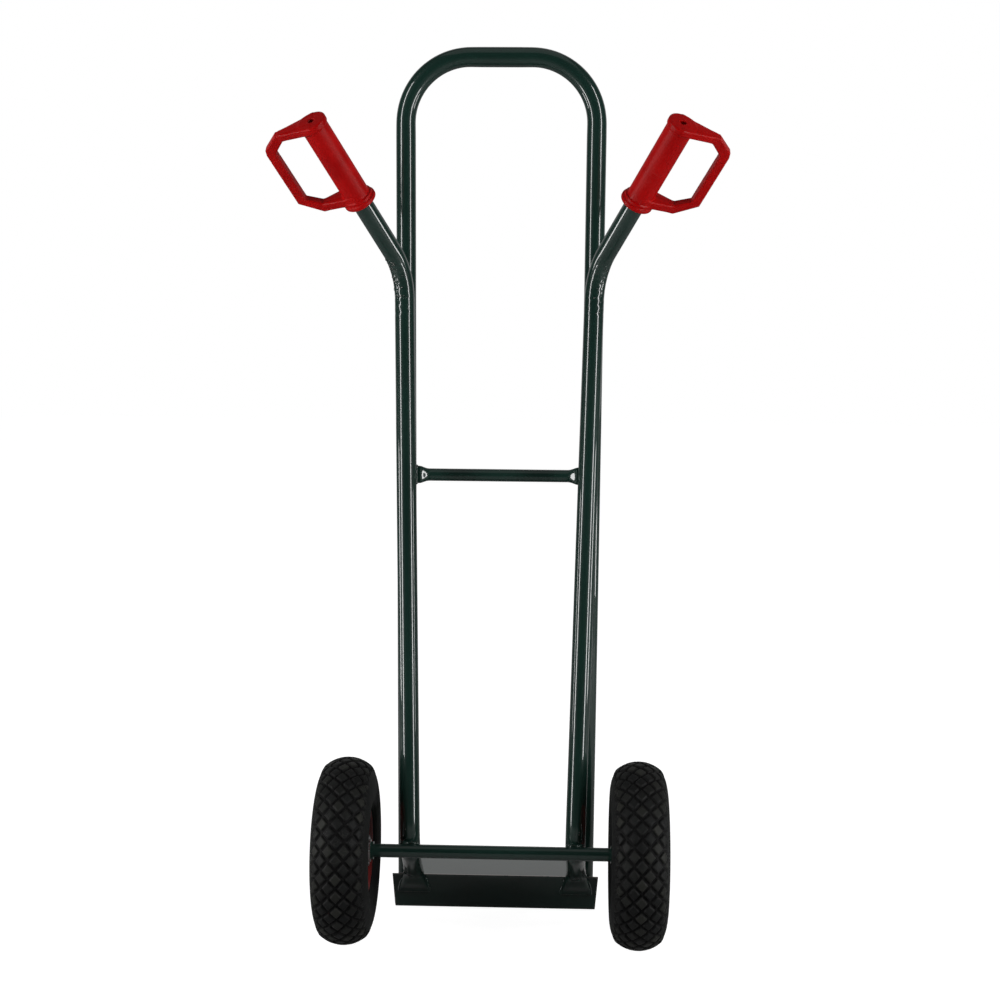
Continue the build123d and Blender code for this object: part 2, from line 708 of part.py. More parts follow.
# ---- write every piece ------------------------------------------------------------------------
right_wheel_at = Pos(wheel_track_half, axle_y, axle_z)
pieces = {
    "loop_tube": loop_tube,
    "left_side_tube": left_side_tube,
    "right_side_tube": right_side_tube,
    "cross_bar": cross_bar,
    "toe_plate": toe_plate,
    "axle": axle,
    "frame_welds": frame_welds,
    "left_grip": left_grip,
    "right_grip": right_grip,
}
right_small_parts = {
    "axle_collar": right_collar,
    "inner_washer": right_inner_washer,
    "outer_washer": right_outer_washer,
    "split_pin": right_pin,
}
for name, shape in right_small_parts.items():
    pieces["right_" + name] = axle_at * shape
    pieces["left_" + name] = mirrored(axle_at * shape)
for name, shape in wheel_parts.items():
    pieces["right_" + name] = right_wheel_at * shape
    pieces["left_" + name] = mirrored(right_wheel_at * shape)
for name, shape in pieces.items():
    export_step(shape, f"parts/{name}.step")

print("axle y", round(axle_y, 3), "axle z", axle_z, "flange to axle", round(flange_rear_y - axle_y, 2))
print("grip end", grip_end, "foot bend y", round(foot_bend_y, 3))
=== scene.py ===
from math import cos, pi, radians, sin, tan

import bmesh
import bpy
import numpy as np
from mathutils import Matrix, Vector


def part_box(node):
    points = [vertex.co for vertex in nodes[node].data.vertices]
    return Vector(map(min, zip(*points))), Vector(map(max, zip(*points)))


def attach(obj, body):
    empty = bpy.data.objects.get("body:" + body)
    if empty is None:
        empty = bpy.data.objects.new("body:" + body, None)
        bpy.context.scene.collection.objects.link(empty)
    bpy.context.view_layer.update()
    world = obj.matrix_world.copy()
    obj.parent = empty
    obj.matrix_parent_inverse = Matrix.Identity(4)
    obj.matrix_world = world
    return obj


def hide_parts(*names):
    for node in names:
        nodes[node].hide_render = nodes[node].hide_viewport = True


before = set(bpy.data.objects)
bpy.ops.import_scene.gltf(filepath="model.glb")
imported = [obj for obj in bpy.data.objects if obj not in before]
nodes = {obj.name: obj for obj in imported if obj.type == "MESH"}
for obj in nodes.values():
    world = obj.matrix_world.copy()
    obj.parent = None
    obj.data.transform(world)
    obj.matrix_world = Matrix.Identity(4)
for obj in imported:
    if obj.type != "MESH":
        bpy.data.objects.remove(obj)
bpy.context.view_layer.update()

# Looks of the hand truck, piece by piece. Shapes are worked out in millimetres in the frame's own axes:
# x to the operator's right, y towards the load, z up from the floor.
mm = 0.001
scene = bpy.context.scene


# Shared shape tools

def unit(vector):
    return vector / np.linalg.norm(vector, axis=-1, keepdims=True)


def smoothStep(low, high, value):
    # 0 below low, 1 above high, and 3t^2 - 2t^3 in between
    t = np.clip((value - low) / (high - low), 0, 1)
    return t * t * (3 - 2 * t)


def roundedRoute(corners, radii, spacing, closed=False):
    # Straight runs joined by arcs: each corner is cut by radius / tan(half its angle) on both sides, and
    # the arc turns about the point radius / sin(half angle) along the corner's bisector.
    corners = np.array(corners, float)
    if closed:
        middle = (corners[-1] + corners[0]) / 2
        corners = np.vstack([middle, corners, middle])
    points, tangents, start = [], [], corners[0]
    for before, corner, after, radius in zip(corners, corners[1:], corners[2:], radii):
        back, ahead = unit(before - corner), unit(after - corner)
        half = np.arccos(np.clip(back @ ahead, -1, 1)) / 2
        arcStart = corner + back * radius / np.tan(half)
        centre = corner + unit(back + ahead) * radius / np.sin(half)
        addRun(points, tangents, start, arcStart, spacing)
        wholeTurn = pi - 2 * half
        turn = np.linspace(0, wholeTurn, max(3, int(radius * wholeTurn / spacing) + 1), endpoint=False)
        outward = (arcStart - centre) / radius
        points.append(centre + radius * (np.outer(np.cos(turn), outward) - np.outer(np.sin(turn), back)))
        tangents.append(-np.outer(np.sin(turn), outward) - np.outer(np.cos(turn), back))
        start = corner + ahead * radius / np.tan(half)
    addRun(points, tangents, start, corners[-1], spacing, not closed)
    return np.vstack(points), np.vstack(tangents)


def addRun(points, tangents, start, end, spacing, keepEnd=False):
    length = np.linalg.norm(end - start)
    if length < 1e-6:
        return
    share = np.linspace(0, 1, max(2, int(length / spacing) + 1), endpoint=keepEnd)
    points.append(start + np.outer(share, end - start))
    tangents.append(np.tile((end - start) / length, (len(share), 1)))


def resampled(route, tangents, stations):
    # Points and directions of a route at the given lengths along it.
    steps = np.linalg.norm(np.diff(route, axis=0), axis=1)
    length = np.concatenate([[0], np.cumsum(steps)])

    def pick(values):
        return np.stack([np.interp(stations, length, column) for column in values.T], -1)

    return pick(route), unit(pick(tangents))


def carried(route, tangents, reference, outline):
    # A profile carried along a path: each ring lays off the outline's two numbers along the reference
    # direction made square to the path, and along the direction square to both.
    side = unit(reference - (tangents @ reference)[:, None] * tangents)
    other = np.cross(tangents, side)
    return route[:, None] + outline[..., :1] * side[:, None] + outline[..., 1:] * other[:, None]


def pressedOutline(halfWide, halfThick, count, inset=0.0, fullness=2.2):
    # Section of a tube pressed from round towards flat: x is thick * cos a plus a tanh term that widens it,
    # y is thick * sin a. With equal halves it is a circle.
    angle = np.linspace(0, 2 * pi, count, endpoint=False)
    wide = (np.asarray(halfWide, float) - inset)[:, None]
    thick = np.maximum(np.asarray(halfThick, float) - inset, 0.3)[:, None]
    spread = np.tanh(fullness * np.cos(angle)) / np.tanh(fullness)
    return np.stack([thick * np.cos(angle) + (wide - thick) * spread, thick * np.sin(angle) + 0 * wide], -1)


def gridFaces(rows, columns, closeRows=False, closeColumns=True):
    # Quads between neighbouring lines of a grid of points; a closed way joins its last line to its first.
    usedRows, usedColumns = np.arange(rows - (not closeRows)), np.arange(columns - (not closeColumns))
    i, j = np.meshgrid(usedRows, usedColumns, indexing="ij")
    iNext, jNext = (i + 1) % rows, (j + 1) % columns
    corners = [i * columns + j, iNext * columns + j, iNext * columns + jNext, i * columns + jNext]
    return np.stack(corners, -1).reshape(-1, 4)


def mirroredHalf(points, faces):
    # The same surface on the other side of the truck, with its faces turned to stay outward.
    return points * np.array([-1, 1, 1]), faces[:, ::-1]


def joined(surfaces):
    # Several surfaces as one, each one's faces counted on from the points before it.
    offset, points, faces = 0, [], []
    for somePoints, someFaces in surfaces:
        points.append(somePoints.reshape(-1, 3))
        faces.append(someFaces + offset)
        offset += len(points[-1])
    return np.vstack(points), np.vstack(faces)


def addPiece(name, points, faces, look, body, slotName, standsFor, masks=None, sharpAngle=40, mend=True):
    mesh = bpy.data.meshes.new(name)
    mesh.from_pydata((points.reshape(-1, 3) * mm).tolist(), [], faces.tolist())
    for maskName, values in (masks or {}).items():
        mesh.attributes.new(maskName, "FLOAT", "POINT").data.foreach_set("value", np.ravel(values))
    piece = bpy.data.objects.new(name, mesh)
    scene.collection.objects.link(piece)
    if mend:  # poles and seams become single points, and every face looks outward
        work = bmesh.new()
        work.from_mesh(mesh)
        bmesh.ops.remove_doubles(work, verts=work.verts, dist=2e-6)
        bmesh.ops.recalc_face_normals(work, faces=work.faces)
        work.to_mesh(mesh)
        work.free()
    mesh.shade_smooth()
    mesh.set_sharp_from_angle(angle=radians(sharpAngle))
    mesh.materials.append(look)
    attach(piece, body)
    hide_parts(*standsFor)


# Materials: shared effects as node groups, then one look for each finish

def addNode(tree, kind, settings=None, **inputs):
    # An input is given by its name, with _ for a space, or by n and its number.
    node = tree.nodes.new(kind)
    for key, value in (settings or {}).items():
        setattr(node, key, value)
    for key, value in inputs.items():
        byNumber = key[0] == "n" and key[1:].isdigit()
        socket = node.inputs[int(key[1:]) if byNumber else key.replace("_", " ")]
        if isinstance(value, bpy.types.NodeSocket):
            tree.links.new(value, socket)
        else:
            socket.default_value = value
    return node


def newGroup(name, inputs, output):
    group = bpy.data.node_groups.new(name, "ShaderNodeTree")
    for socketName, value in inputs.items():
        socket = group.interface.new_socket(socketName, in_out="INPUT", socket_type="NodeSocketFloat")
        socket.default_value = value
    group.interface.new_socket(output, in_out="OUTPUT", socket_type="NodeSocketFloat")
    return group, group.nodes.new("NodeGroupInput").outputs, group.nodes.new("NodeGroupOutput").inputs


def math(tree, operation, first, second=0.0, clamp=False):
    settings = {"operation": operation, "use_clamp": clamp}
    return addNode(tree, "ShaderNodeMath", settings, n0=first, n1=second).outputs[0]


def noiseHeight(tree, scale, detail=2.0, roughness=0.5, vector=None):
    vector = vector or addNode(tree, "ShaderNodeTexCoord").outputs["Object"]
    settings = {"Vector": vector, "Scale": scale, "Detail": detail, "Roughness": roughness}
    return addNode(tree, "ShaderNodeTexNoise", None, **settings).outputs["Fac"]


def ramped(tree, value, low, high, start=0.0, end=1.0):
    smooth = {"interpolation_type": "SMOOTHSTEP"}
    return addNode(tree, "ShaderNodeMapRange", smooth, n0=value, n1=low, n2=high, n3=start, n4=end).outputs[0]


def makeGrain():
    # Fine surface relief: a coarse and a fine noise added in the share asked for.
    scales = {"Coarse Scale": 60.0, "Fine Scale": 600.0, "Fine Share": 0.3}
    group, given, wanted = newGroup("surfaceGrain", scales, "Height")
    coarse = noiseHeight(group, given["Coarse Scale"], 1.0)
    fine = noiseHeight(group, given["Fine Scale"], 3.0, 0.6)
    fineShare = math(group, "MULTIPLY", fine, given["Fine Share"])
    group.links.new(math(group, "ADD", coarse, fineShare), wanted["Height"])
    return group


def makeDust():
    # Soft patches broken by fine specks: one mask from 0, clean, to 1, dusty.
    group, given, wanted = newGroup("dustFilm", {"Patch Scale": 9.0, "Amount": 0.5}, "Mask")
    patches = ramped(group, noiseHeight(group, given["Patch Scale"], 3.0, 0.6), 0.42, 0.72)
    specks = ramped(group, noiseHeight(group, 420.0, 2.0, 0.7), 0.5, 0.75)
    both = math(group, "ADD", math(group, "MULTIPLY", patches, 0.6), math(group, "MULTIPLY", specks, 0.4))
    group.links.new(math(group, "MULTIPLY", both, given["Amount"], True), wanted["Mask"])
    return group


def makeScuffs():
    # Thin scattered scratches: where two stretched noises cross their middle value, the line is drawn.
    group, given, wanted = newGroup("scuffLines", {"Scale": 40.0, "Width": 0.012}, "Mask")
    spot = addNode(group, "ShaderNodeTexCoord").outputs["Object"]
    turned = {"Rotation": (0.6, 0.4, 0.9), "Scale": (1.0, 6.0, 1.6)}
    stretched = addNode(group, "ShaderNodeMapping", None, Vector=spot, **turned).outputs[0]
    waves = noiseHeight(group, given["Scale"], 1.0, 0.4, stretched)
    offMiddle = math(group, "ABSOLUTE", math(group, "SUBTRACT", waves, 0.5))
    line = math(group, "LESS_THAN", offMiddle, given["Width"])
    sparse = ramped(group, noiseHeight(group, 14.0, 2.0), 0.56, 0.66)
    group.links.new(math(group, "MULTIPLY", line, sparse), wanted["Mask"])
    return group


def makeEdgeWear():
    # Worn edges: the piece's own edge mask, made ragged by noise.
    group, given, wanted = newGroup("edgeWear", {"Reach": 0.5}, "Mask")
    edge = addNode(group, "ShaderNodeAttribute", {"attribute_name": "edgeMask"}).outputs["Fac"]
    patchy = math(group, "ADD", noiseHeight(group, 130.0, 4.0, 0.7), given["Reach"])
    ragged = math(group, "MULTIPLY", edge, patchy)
    group.links.new(ramped(group, ragged, 0.78, 0.92), wanted["Mask"])
    return group


grainGroup, dustGroup, scuffGroup, wearGroup = makeGrain(), makeDust(), makeScuffs(), makeEdgeWear()


def place(tree, group, **inputs):
    return addNode(tree, "ShaderNodeGroup", {"node_tree": group}, **inputs).outputs[0]


def mixed(tree, factor, first, second):
    node = addNode(tree, "ShaderNodeMix", {"data_type": "RGBA"}, n0=factor)
    for socket, value in ((node.inputs[6], first), (node.inputs[7], second)):
        if isinstance(value, bpy.types.NodeSocket):
            tree.links.new(value, socket)
        else:
            socket.default_value = (*value, 1.0)
    return node.outputs[2]


def newLook(name, **constants):
    look = bpy.data.materials.new(name)
    look.use_nodes = True
    tree = look.node_tree
    shader = tree.nodes["Principled BSDF"]
    for key, value in constants.items():
        shader.inputs[key.replace("_", " ")].default_value = value
    return look, tree, shader


def link(tree, value, shader, name):
    tree.links.new(value, shader.inputs[name])


def bumped(tree, shader, height, distance, strength=1.0):
    bump = addNode(tree, "ShaderNodeBump", None, Height=height, Distance=distance, Strength=strength)
    link(tree, bump.outputs[0], shader, "Normal")


def glossPaint(name, values):
    coat = {"Coat_Weight": values["coat"], "Coat_Roughness": values["coatRoughness"], "Coat_IOR": 1.5}
    look, tree, shader = newLook(name, IOR=1.5, Specular_IOR_Level=values["under"], **coat)
    dust = place(tree, dustGroup, Patch_Scale=7.0, Amount=values["dust"])
    wear = place(tree, wearGroup, Reach=0.5)
    cloudy = ramped(tree, noiseHeight(tree, 5.0, 3.0), 0.3, 0.7)
    body = mixed(tree, cloudy, values["shade"], values["tint"])
    dusty = mixed(tree, dust, body, values["dustTint"])
    link(tree, mixed(tree, wear, dusty, values["bare"]), shader, "Base Color")
    rough = math(tree, "ADD", math(tree, "MULTIPLY", dust, 0.35), values["roughness"])
    link(tree, rough, shader, "Roughness")
    link(tree, math(tree, "MULTIPLY", wear, 0.85), shader, "Metallic")
    peel = place(tree, grainGroup, Coarse_Scale=values["peel"], Fine_Scale=260.0, Fine_Share=0.03)
    bumped(tree, shader, peel, values["relief"])
    return look


def plainMetal(name, values):
    look, tree, shader = newLook(name, Metallic=values["metal"], IOR=1.5)
    scuffs = place(tree, scuffGroup, Scale=60.0, Width=0.02)
    dust = place(tree, dustGroup, Patch_Scale=60.0, Amount=values["dust"])
    link(tree, mixed(tree, dust, values["tint"], values["dull"]), shader, "Base Color")
    rough = math(tree, "ADD", math(tree, "MULTIPLY", dust, 0.3), values["roughness"])
    link(tree, math(tree, "ADD", rough, math(tree, "MULTIPLY", scuffs, 0.15)), shader, "Roughness")
    scales = {"Coarse_Scale": 240.0, "Fine_Scale": 1800.0, "Fine_Share": 0.4}
    bumped(tree, shader, place(tree, grainGroup, **scales), values["relief"])
    return look


def mattePolymer(name, values):
    look, tree, shader = newLook(name, IOR=1.46, Specular_IOR_Level=values["specular"])
    dust = place(tree, dustGroup, Patch_Scale=values["patch"], Amount=values["dust"])
    scuffs = place(tree, scuffGroup, Scale=45.0, Width=0.01)
    groove = addNode(tree, "ShaderNodeAttribute", {"attribute_name": "grooveMask"}).outputs["Fac"]
    cloudy = ramped(tree, noiseHeight(tree, values["cloud"], 2.0), 0.35, 0.68)
    surface = mixed(tree, cloudy, values["shade"], values["tint"])
    blockDust = addNode(tree, "ShaderNodeAttribute", {"attribute_name": "blockMask"}).outputs["Fac"]
    surface = mixed(tree, math(tree, "MAXIMUM", dust, blockDust), surface, values["dustTint"])
    surface = mixed(tree, math(tree, "MULTIPLY", scuffs, 0.35), surface, values["scuffTint"])
    # The groove mask darkens the grooves to this colour: painted shade in the tread's recesses.
    link(tree, mixed(tree, groove, surface, values["grooveShadeTint"]), shader, "Base Color")
    rough = math(tree, "ADD", math(tree, "MULTIPLY", cloudy, 0.1), values["roughness"])
    link(tree, math(tree, "ADD", rough, math(tree, "MULTIPLY", groove, 0.1)), shader, "Roughness")
    scales = {"Coarse_Scale": values["grain"], "Fine_Scale": values["grain"] * 6, "Fine_Share": 0.5}
    bumped(tree, shader, place(tree, grainGroup, **scales), values["relief"])
    return look


framePaint = glossPaint("framePaint", {
    "tint": (0.0070, 0.0270, 0.0205), "shade": (0.0050, 0.0200, 0.0152), "dustTint": (0.035, 0.052, 0.044),
    "dust": 0.12, "roughness": 0.34, "under": 0.15, "coat": 1.0, "coatRoughness": 0.03, "peel": 26.0,
    "relief": 0.00005, "bare": (0.16, 0.15, 0.14),
})
rimPaint = glossPaint("rimPaint", {
    "tint": (0.20, 0.005, 0.005), "shade": (0.14, 0.004, 0.004), "dustTint": (0.12, 0.05, 0.04),
    "dust": 0.3, "roughness": 0.34, "under": 0.3, "coat": 0.8, "coatRoughness": 0.08, "peel": 50.0,
    "relief": 0.00018, "bare": (0.16, 0.15, 0.14),
})
gripPlastic = mattePolymer("gripPlastic", {
    "tint": (0.42, 0.0016, 0.0016), "shade": (0.34, 0.0012, 0.0014), "dustTint": (0.36, 0.015, 0.014),
    "scuffTint": (0.52, 0.05, 0.045), "grooveShadeTint": (0.22, 0.0015, 0.002), "dust": 0.07, "roughness": 0.34,
    "specular": 0.13, "patch": 16.0, "cloud": 22.0, "grain": 420.0, "relief": 0.00006,
})
tyreRubber = mattePolymer("tyreRubber", {
    "tint": (0.0062, 0.0068, 0.0068), "shade": (0.0032, 0.0036, 0.0036), "dustTint": (0.030, 0.031, 0.025),
    "scuffTint": (0.04, 0.04, 0.036), "grooveShadeTint": (0.0014, 0.0014, 0.0015), "dust": 0.24, "roughness": 0.54,
    "specular": 0.20, "patch": 24.0, "cloud": 46.0, "grain": 520.0, "relief": 0.00012,
})
tubeRubber = mattePolymer("tubeRubber", {
    "tint": (0.022, 0.022, 0.022), "shade": (0.014, 0.014, 0.014), "dustTint": (0.12, 0.12, 0.11),
    "scuffTint": (0.08, 0.08, 0.08), "grooveShadeTint": (0.01, 0.01, 0.01), "dust": 0.5, "roughness": 0.6,
    "specular": 0.3, "patch": 20.0, "cloud": 18.0, "grain": 300.0, "relief": 0.00008,
})
capPlastic = mattePolymer("capPlastic", {
    "tint": (0.02, 0.02, 0.02), "shade": (0.012, 0.012, 0.012), "dustTint": (0.08, 0.08, 0.08),
    "scuffTint": (0.1, 0.1, 0.1), "grooveShadeTint": (0.01, 0.01, 0.01), "dust": 0.3, "roughness": 0.42,
    "specular": 0.4, "patch": 60.0, "cloud": 60.0, "grain": 900.0, "relief": 0.00004,
})
zincPlate = plainMetal("zincPlate", {
    "tint": (0.60, 0.60, 0.61), "dull": (0.34, 0.33, 0.31), "metal": 1.0, "roughness": 0.26, "dust": 0.6,
    "relief": 0.00004,
})
bearingSteel = plainMetal("bearingSteel", {
    "tint": (0.72, 0.72, 0.73), "dull": (0.50, 0.49, 0.47), "metal": 1.0, "roughness": 0.12, "dust": 0.25,
    "relief": 0.00004,
})
valveBrass = plainMetal("valveBrass", {
    "tint": (0.66, 0.47, 0.20), "dull": (0.36, 0.26, 0.13), "metal": 1.0, "roughness": 0.24, "dust": 0.5,
    "relief": 0.00004,
})
print("materials made")

# Small turned and pressed parts keep their frame shape and get their finish here.
keptLooks = {
    "axle": framePaint, "axle_collar": framePaint, "inner_washer": zincPlate, "outer_washer": zincPlate,
    "split_pin": zincPlate, "rim_bolts": zincPlate, "rim_nuts": zincPlate, "hub_tube": capPlastic,
    "bearing_inner_rings": bearingSteel, "bearing_outer_rings": bearingSteel, "bearing_balls": bearingSteel,
    "valve_stem": valveBrass, "valve_cap": capPlastic, "inner_tube": tubeRubber,
}
for nodeName, node in nodes.items():
    kind = nodeName.removeprefix("left_").removeprefix("right_")
    if kind in keptLooks:
        for materialSlot in node.material_slots:
            materialSlot.material = keptLooks[kind]

# Loop tube
loop = {
    "radius": 14.0, "wall": 2.0, "y": -106.9, "lowZ": 12.0, "topZ": 1239.0, "lowX": 131.04, "highX": 135.6,
    "bend": 92.0, "around": 64, "squash": 0.02, "step": 6.0,
}


def tubeSurface(route, tangents, reference, halfWide, halfThick, wall, around, shift=None):
    # Outer wall up the path and inner wall back down it, closed over both cut ends.
    outer = pressedOutline(halfWide, halfThick, around)
    if shift is not None:
        outer = outer * (1 + shift)[..., None]
    inner = pressedOutline(halfWide, halfThick, around, wall)
    skins = [carried(route, tangents, reference, outer), carried(route, tangents, reference, inner)[::-1]]
    points = np.concatenate(skins)
    return points, gridFaces(len(points), around, True, True)


def bendRipple(route, tangents, reference, centreOf, shape, stations, low, high):
    # Inner side of a bend: small waves along the path, strongest where the ring faces the bend's middle.
    side = unit(reference - (tangents @ reference)[:, None] * tangents)
    other = np.cross(tangents, side)
    inward = unit(centreOf - route)
    facing = np.arctan2((inward * other).sum(1), (inward * side).sum(1))
    angle = np.linspace(0, 2 * pi, shape["around"], endpoint=False)
    near = np.clip(np.cos(angle[None] - facing[:, None]), 0, 1) ** 2
    inBend = smoothStep(low, low + 12, stations) * (1 - smoothStep(high - 12, high, stations))
    wave = np.sin(2 * pi * stations / shape["ripplePitch"]) * (0.6 + 0.4 * np.sin(stations * 0.9))
    patchy = 0.55 + 0.45 * np.sin(angle[None] * 7 + stations[:, None] * 0.55)
    return -shape["rippleDepth"] * (inBend * (0.5 + 0.5 * wave))[:, None] * near * patchy


legEnds = [(side * loop["lowX"], loop["y"], loop["lowZ"]) for side in (-1, 1)]
topCorners = [(side * loop["highX"], loop["y"], loop["topZ"]) for side in (-1, 1)]
loopCorners = [legEnds[0], *topCorners, legEnds[1]]
loopRoute, loopTangents = roundedRoute(loopCorners, [loop["bend"]] * 2, loop["step"])
bent = np.abs(np.gradient(loopTangents[:, 2])) > 1e-4
thin = loop["radius"] * (1 - loop["squash"] * np.convolve(bent, np.ones(5) / 5, "same"))
unbent = np.full(len(thin), loop["radius"])
toLoadSide = np.array([0.0, 1, 0])
loopPoints, loopFaces = tubeSurface(
    loopRoute, loopTangents, toLoadSide, unbent, thin, loop["wall"], loop["around"]
)
addPiece("loopTube", loopPoints, loopFaces, framePaint, "frame", "frame_paint", ["loop_tube"])
print("loop tube made")

# Side tubes: flat foot, bend at the axle, long run, handle bend
sideTube = {
    "radius": 14.0, "wall": 2.0, "around": 64, "footX": -120.0, "footY": -127.4, "footLowZ": 27.0,
    "footFlatZ": 31.0, "halfWayY": -133.8, "halfWayZ": 45.5, "bendY": -138.05, "bendZ": 62.0,
    "footBends": [15, 40, 25], "lower": (-116.4, -242.35, 132.0), "meeting": (-134.34, -135.9, 899.0),
    "splay": 29.4, "rake": 39.8, "handleBend": 85.0, "lowerBend": 54.0, "reach": 275.6, "endGap": 10.1,
    "lowPart": 250, "bendLead": 75, "bendPart": 160, "easedPart": 118,
    "pressAt": [0, 5, 20, 37, 57, 72], "halfWide": [21.5, 21.5, 17.4, 15.0, 14.5, 14.0],
    "halfThick": [2.3, 2.3, 8.0, 12.25, 13.5, 14.0], "rippleDepth": 0.045, "ripplePitch": 7.5,
}
lower, meeting = np.array(sideTube["lower"]), np.array(sideTube["meeting"])
runUp = unit(meeting - lower)
handleOut = unit(np.array([-tan(radians(sideTube["splay"])), -tan(radians(sideTube["rake"])), 1.0]))
handleTurn = np.arccos(runUp @ handleOut)
handleCorner = meeting + runUp * sideTube["handleBend"] * tan(handleTurn / 2)
gripEnd = handleCorner + handleOut * sideTube["reach"]
footX, footY = sideTube["footX"], sideTube["footY"]
sideCorners = [
    (footX, footY, sideTube["footLowZ"]), (footX, footY, sideTube["footFlatZ"]),
    (footX, sideTube["halfWayY"], sideTube["halfWayZ"]), (footX, sideTube["bendY"], sideTube["bendZ"]),
    lower, handleCorner, gripEnd - handleOut * sideTube["endGap"],
]
sideBends = [*sideTube["footBends"], sideTube["lowerBend"], sideTube["handleBend"]]
fineRoute, fineTangents = roundedRoute(sideCorners, sideBends, 1.0)
sideLength = np.linalg.norm(np.diff(fineRoute, axis=0), axis=1).sum()
bendStart = sideLength - np.linalg.norm(gripEnd - handleCorner) - sideTube["bendLead"]
bendEnd = bendStart + sideTube["bendPart"]
lowStations = [np.arange(0, sideTube["lowPart"], 2.0), np.arange(sideTube["lowPart"], bendStart, 12.0)]
highStations = [np.arange(bendStart, bendEnd, 1.6), np.arange(bendEnd, sideLength, 12.0), [sideLength]]
stations = np.unique(np.concatenate(lowStations + highStations))
sideRoute, sideTangents = resampled(fineRoute, fineTangents, stations)


def eased(values):
    # The pressed shape runs smoothly between its given sections.
    along = np.interp(stations, sideTube["pressAt"], values)
    fineStations = np.arange(-20, sideTube["easedPart"] + 2, 0.5)
    dense = np.interp(fineStations, stations, along)
    reach, spread = 16, 6
    kernel = np.exp(-0.5 * (np.arange(-reach, reach + 1) / spread) ** 2)
    soft = np.convolve(np.pad(dense, reach, "edge"), kernel / kernel.sum(), "valid")
    return np.where(stations < sideTube["easedPart"], np.interp(stations, fineStations, soft), along)


bendInward = unit(unit(lower - handleCorner) + handleOut)
handleCentre = handleCorner + bendInward * sideTube["handleBend"] / sin((pi - handleTurn) / 2)
toRight, ripples = np.array([1.0, 0, 0]), (bendStart + 20, bendStart + 128)
ripple = bendRipple(sideRoute, sideTangents, toRight, handleCentre, sideTube, stations, *ripples)
halfSizes = eased(sideTube["halfWide"]), eased(sideTube["halfThick"])
sidePoints, sideFaces = tubeSurface(
    sideRoute, sideTangents, toRight, *halfSizes, sideTube["wall"], sideTube["around"], ripple
)
rightSide = mirroredHalf(sidePoints.reshape(-1, 3), sideFaces)
for sideName, surface in (("left", (sidePoints, sideFaces)), ("right", rightSide)):
    replacedTube = [sideName + "_side_tube"]
    addPiece(sideName + "SideTube", *surface, framePaint, "frame", "frame_paint", replacedTube)
print("side tubes made")

# Cross bar, its ends pressed flat against the legs
bar = {
    "radius": 9.0, "flatHeight": 12.75, "flatThick": 3.0, "z": 646.0, "y": -106.9, "pressFrom": 99.0,
    "pressTo": 115.5, "end": 119.9, "around": 48, "wornEnd": 2.5, "wear": 0.9,
}
flatPart = np.linspace(bar["pressFrom"], bar["end"], 24)
barX = np.concatenate([-flatPart[::-1], np.linspace(-bar["pressFrom"], bar["pressFrom"], 24)[1:-1], flatPart])
pressed = smoothStep(bar["pressFrom"], bar["pressTo"], np.abs(barX))
wideHalf = bar["radius"] + (bar["flatHeight"] - bar["radius"]) * pressed ** 1.4
thickHalf = bar["radius"] + (bar["flatThick"] - bar["radius"]) * pressed
barRoute = np.stack([barX, np.full_like(barX, bar["y"]), np.full_like(barX, bar["z"])], -1)
barOutline = pressedOutline(wideHalf, thickHalf, bar["around"], 0.0, 3.0)
barRoute = np.vstack([barRoute[:1], barRoute, barRoute[-1:]])
barOutline = np.concatenate([barOutline[:1] * 0, barOutline, barOutline[-1:] * 0])
barPoints = carried(barRoute, np.tile([1.0, 0, 0], (len(barRoute), 1)), np.array([0, 0, 1.0]), barOutline)
barFaces = gridFaces(len(barRoute), bar["around"])
nearEnd = smoothStep(bar["end"] - bar["wornEnd"], bar["end"], np.abs(barX))
barEdge = {"edgeMask": np.concatenate([[0], nearEnd, [0]])[:, None] * np.ones(bar["around"]) * bar["wear"]}
addPiece("crossBar", barPoints, barFaces, framePaint, "frame", "frame_paint", ["cross_bar"], barEdge)
print("cross bar made")

# Toe plate and its flange
plate = {
    "rear": -125.0, "front": 125.0, "thick": 4.0, "height": 51.5, "halfWidth": 148.0, "taper": 5.0,
    "bend": 4.0, "corner": 18.0, "edge": 0.7, "rows": 41, "wornFront": 2.5, "wornTop": 2.0,
}


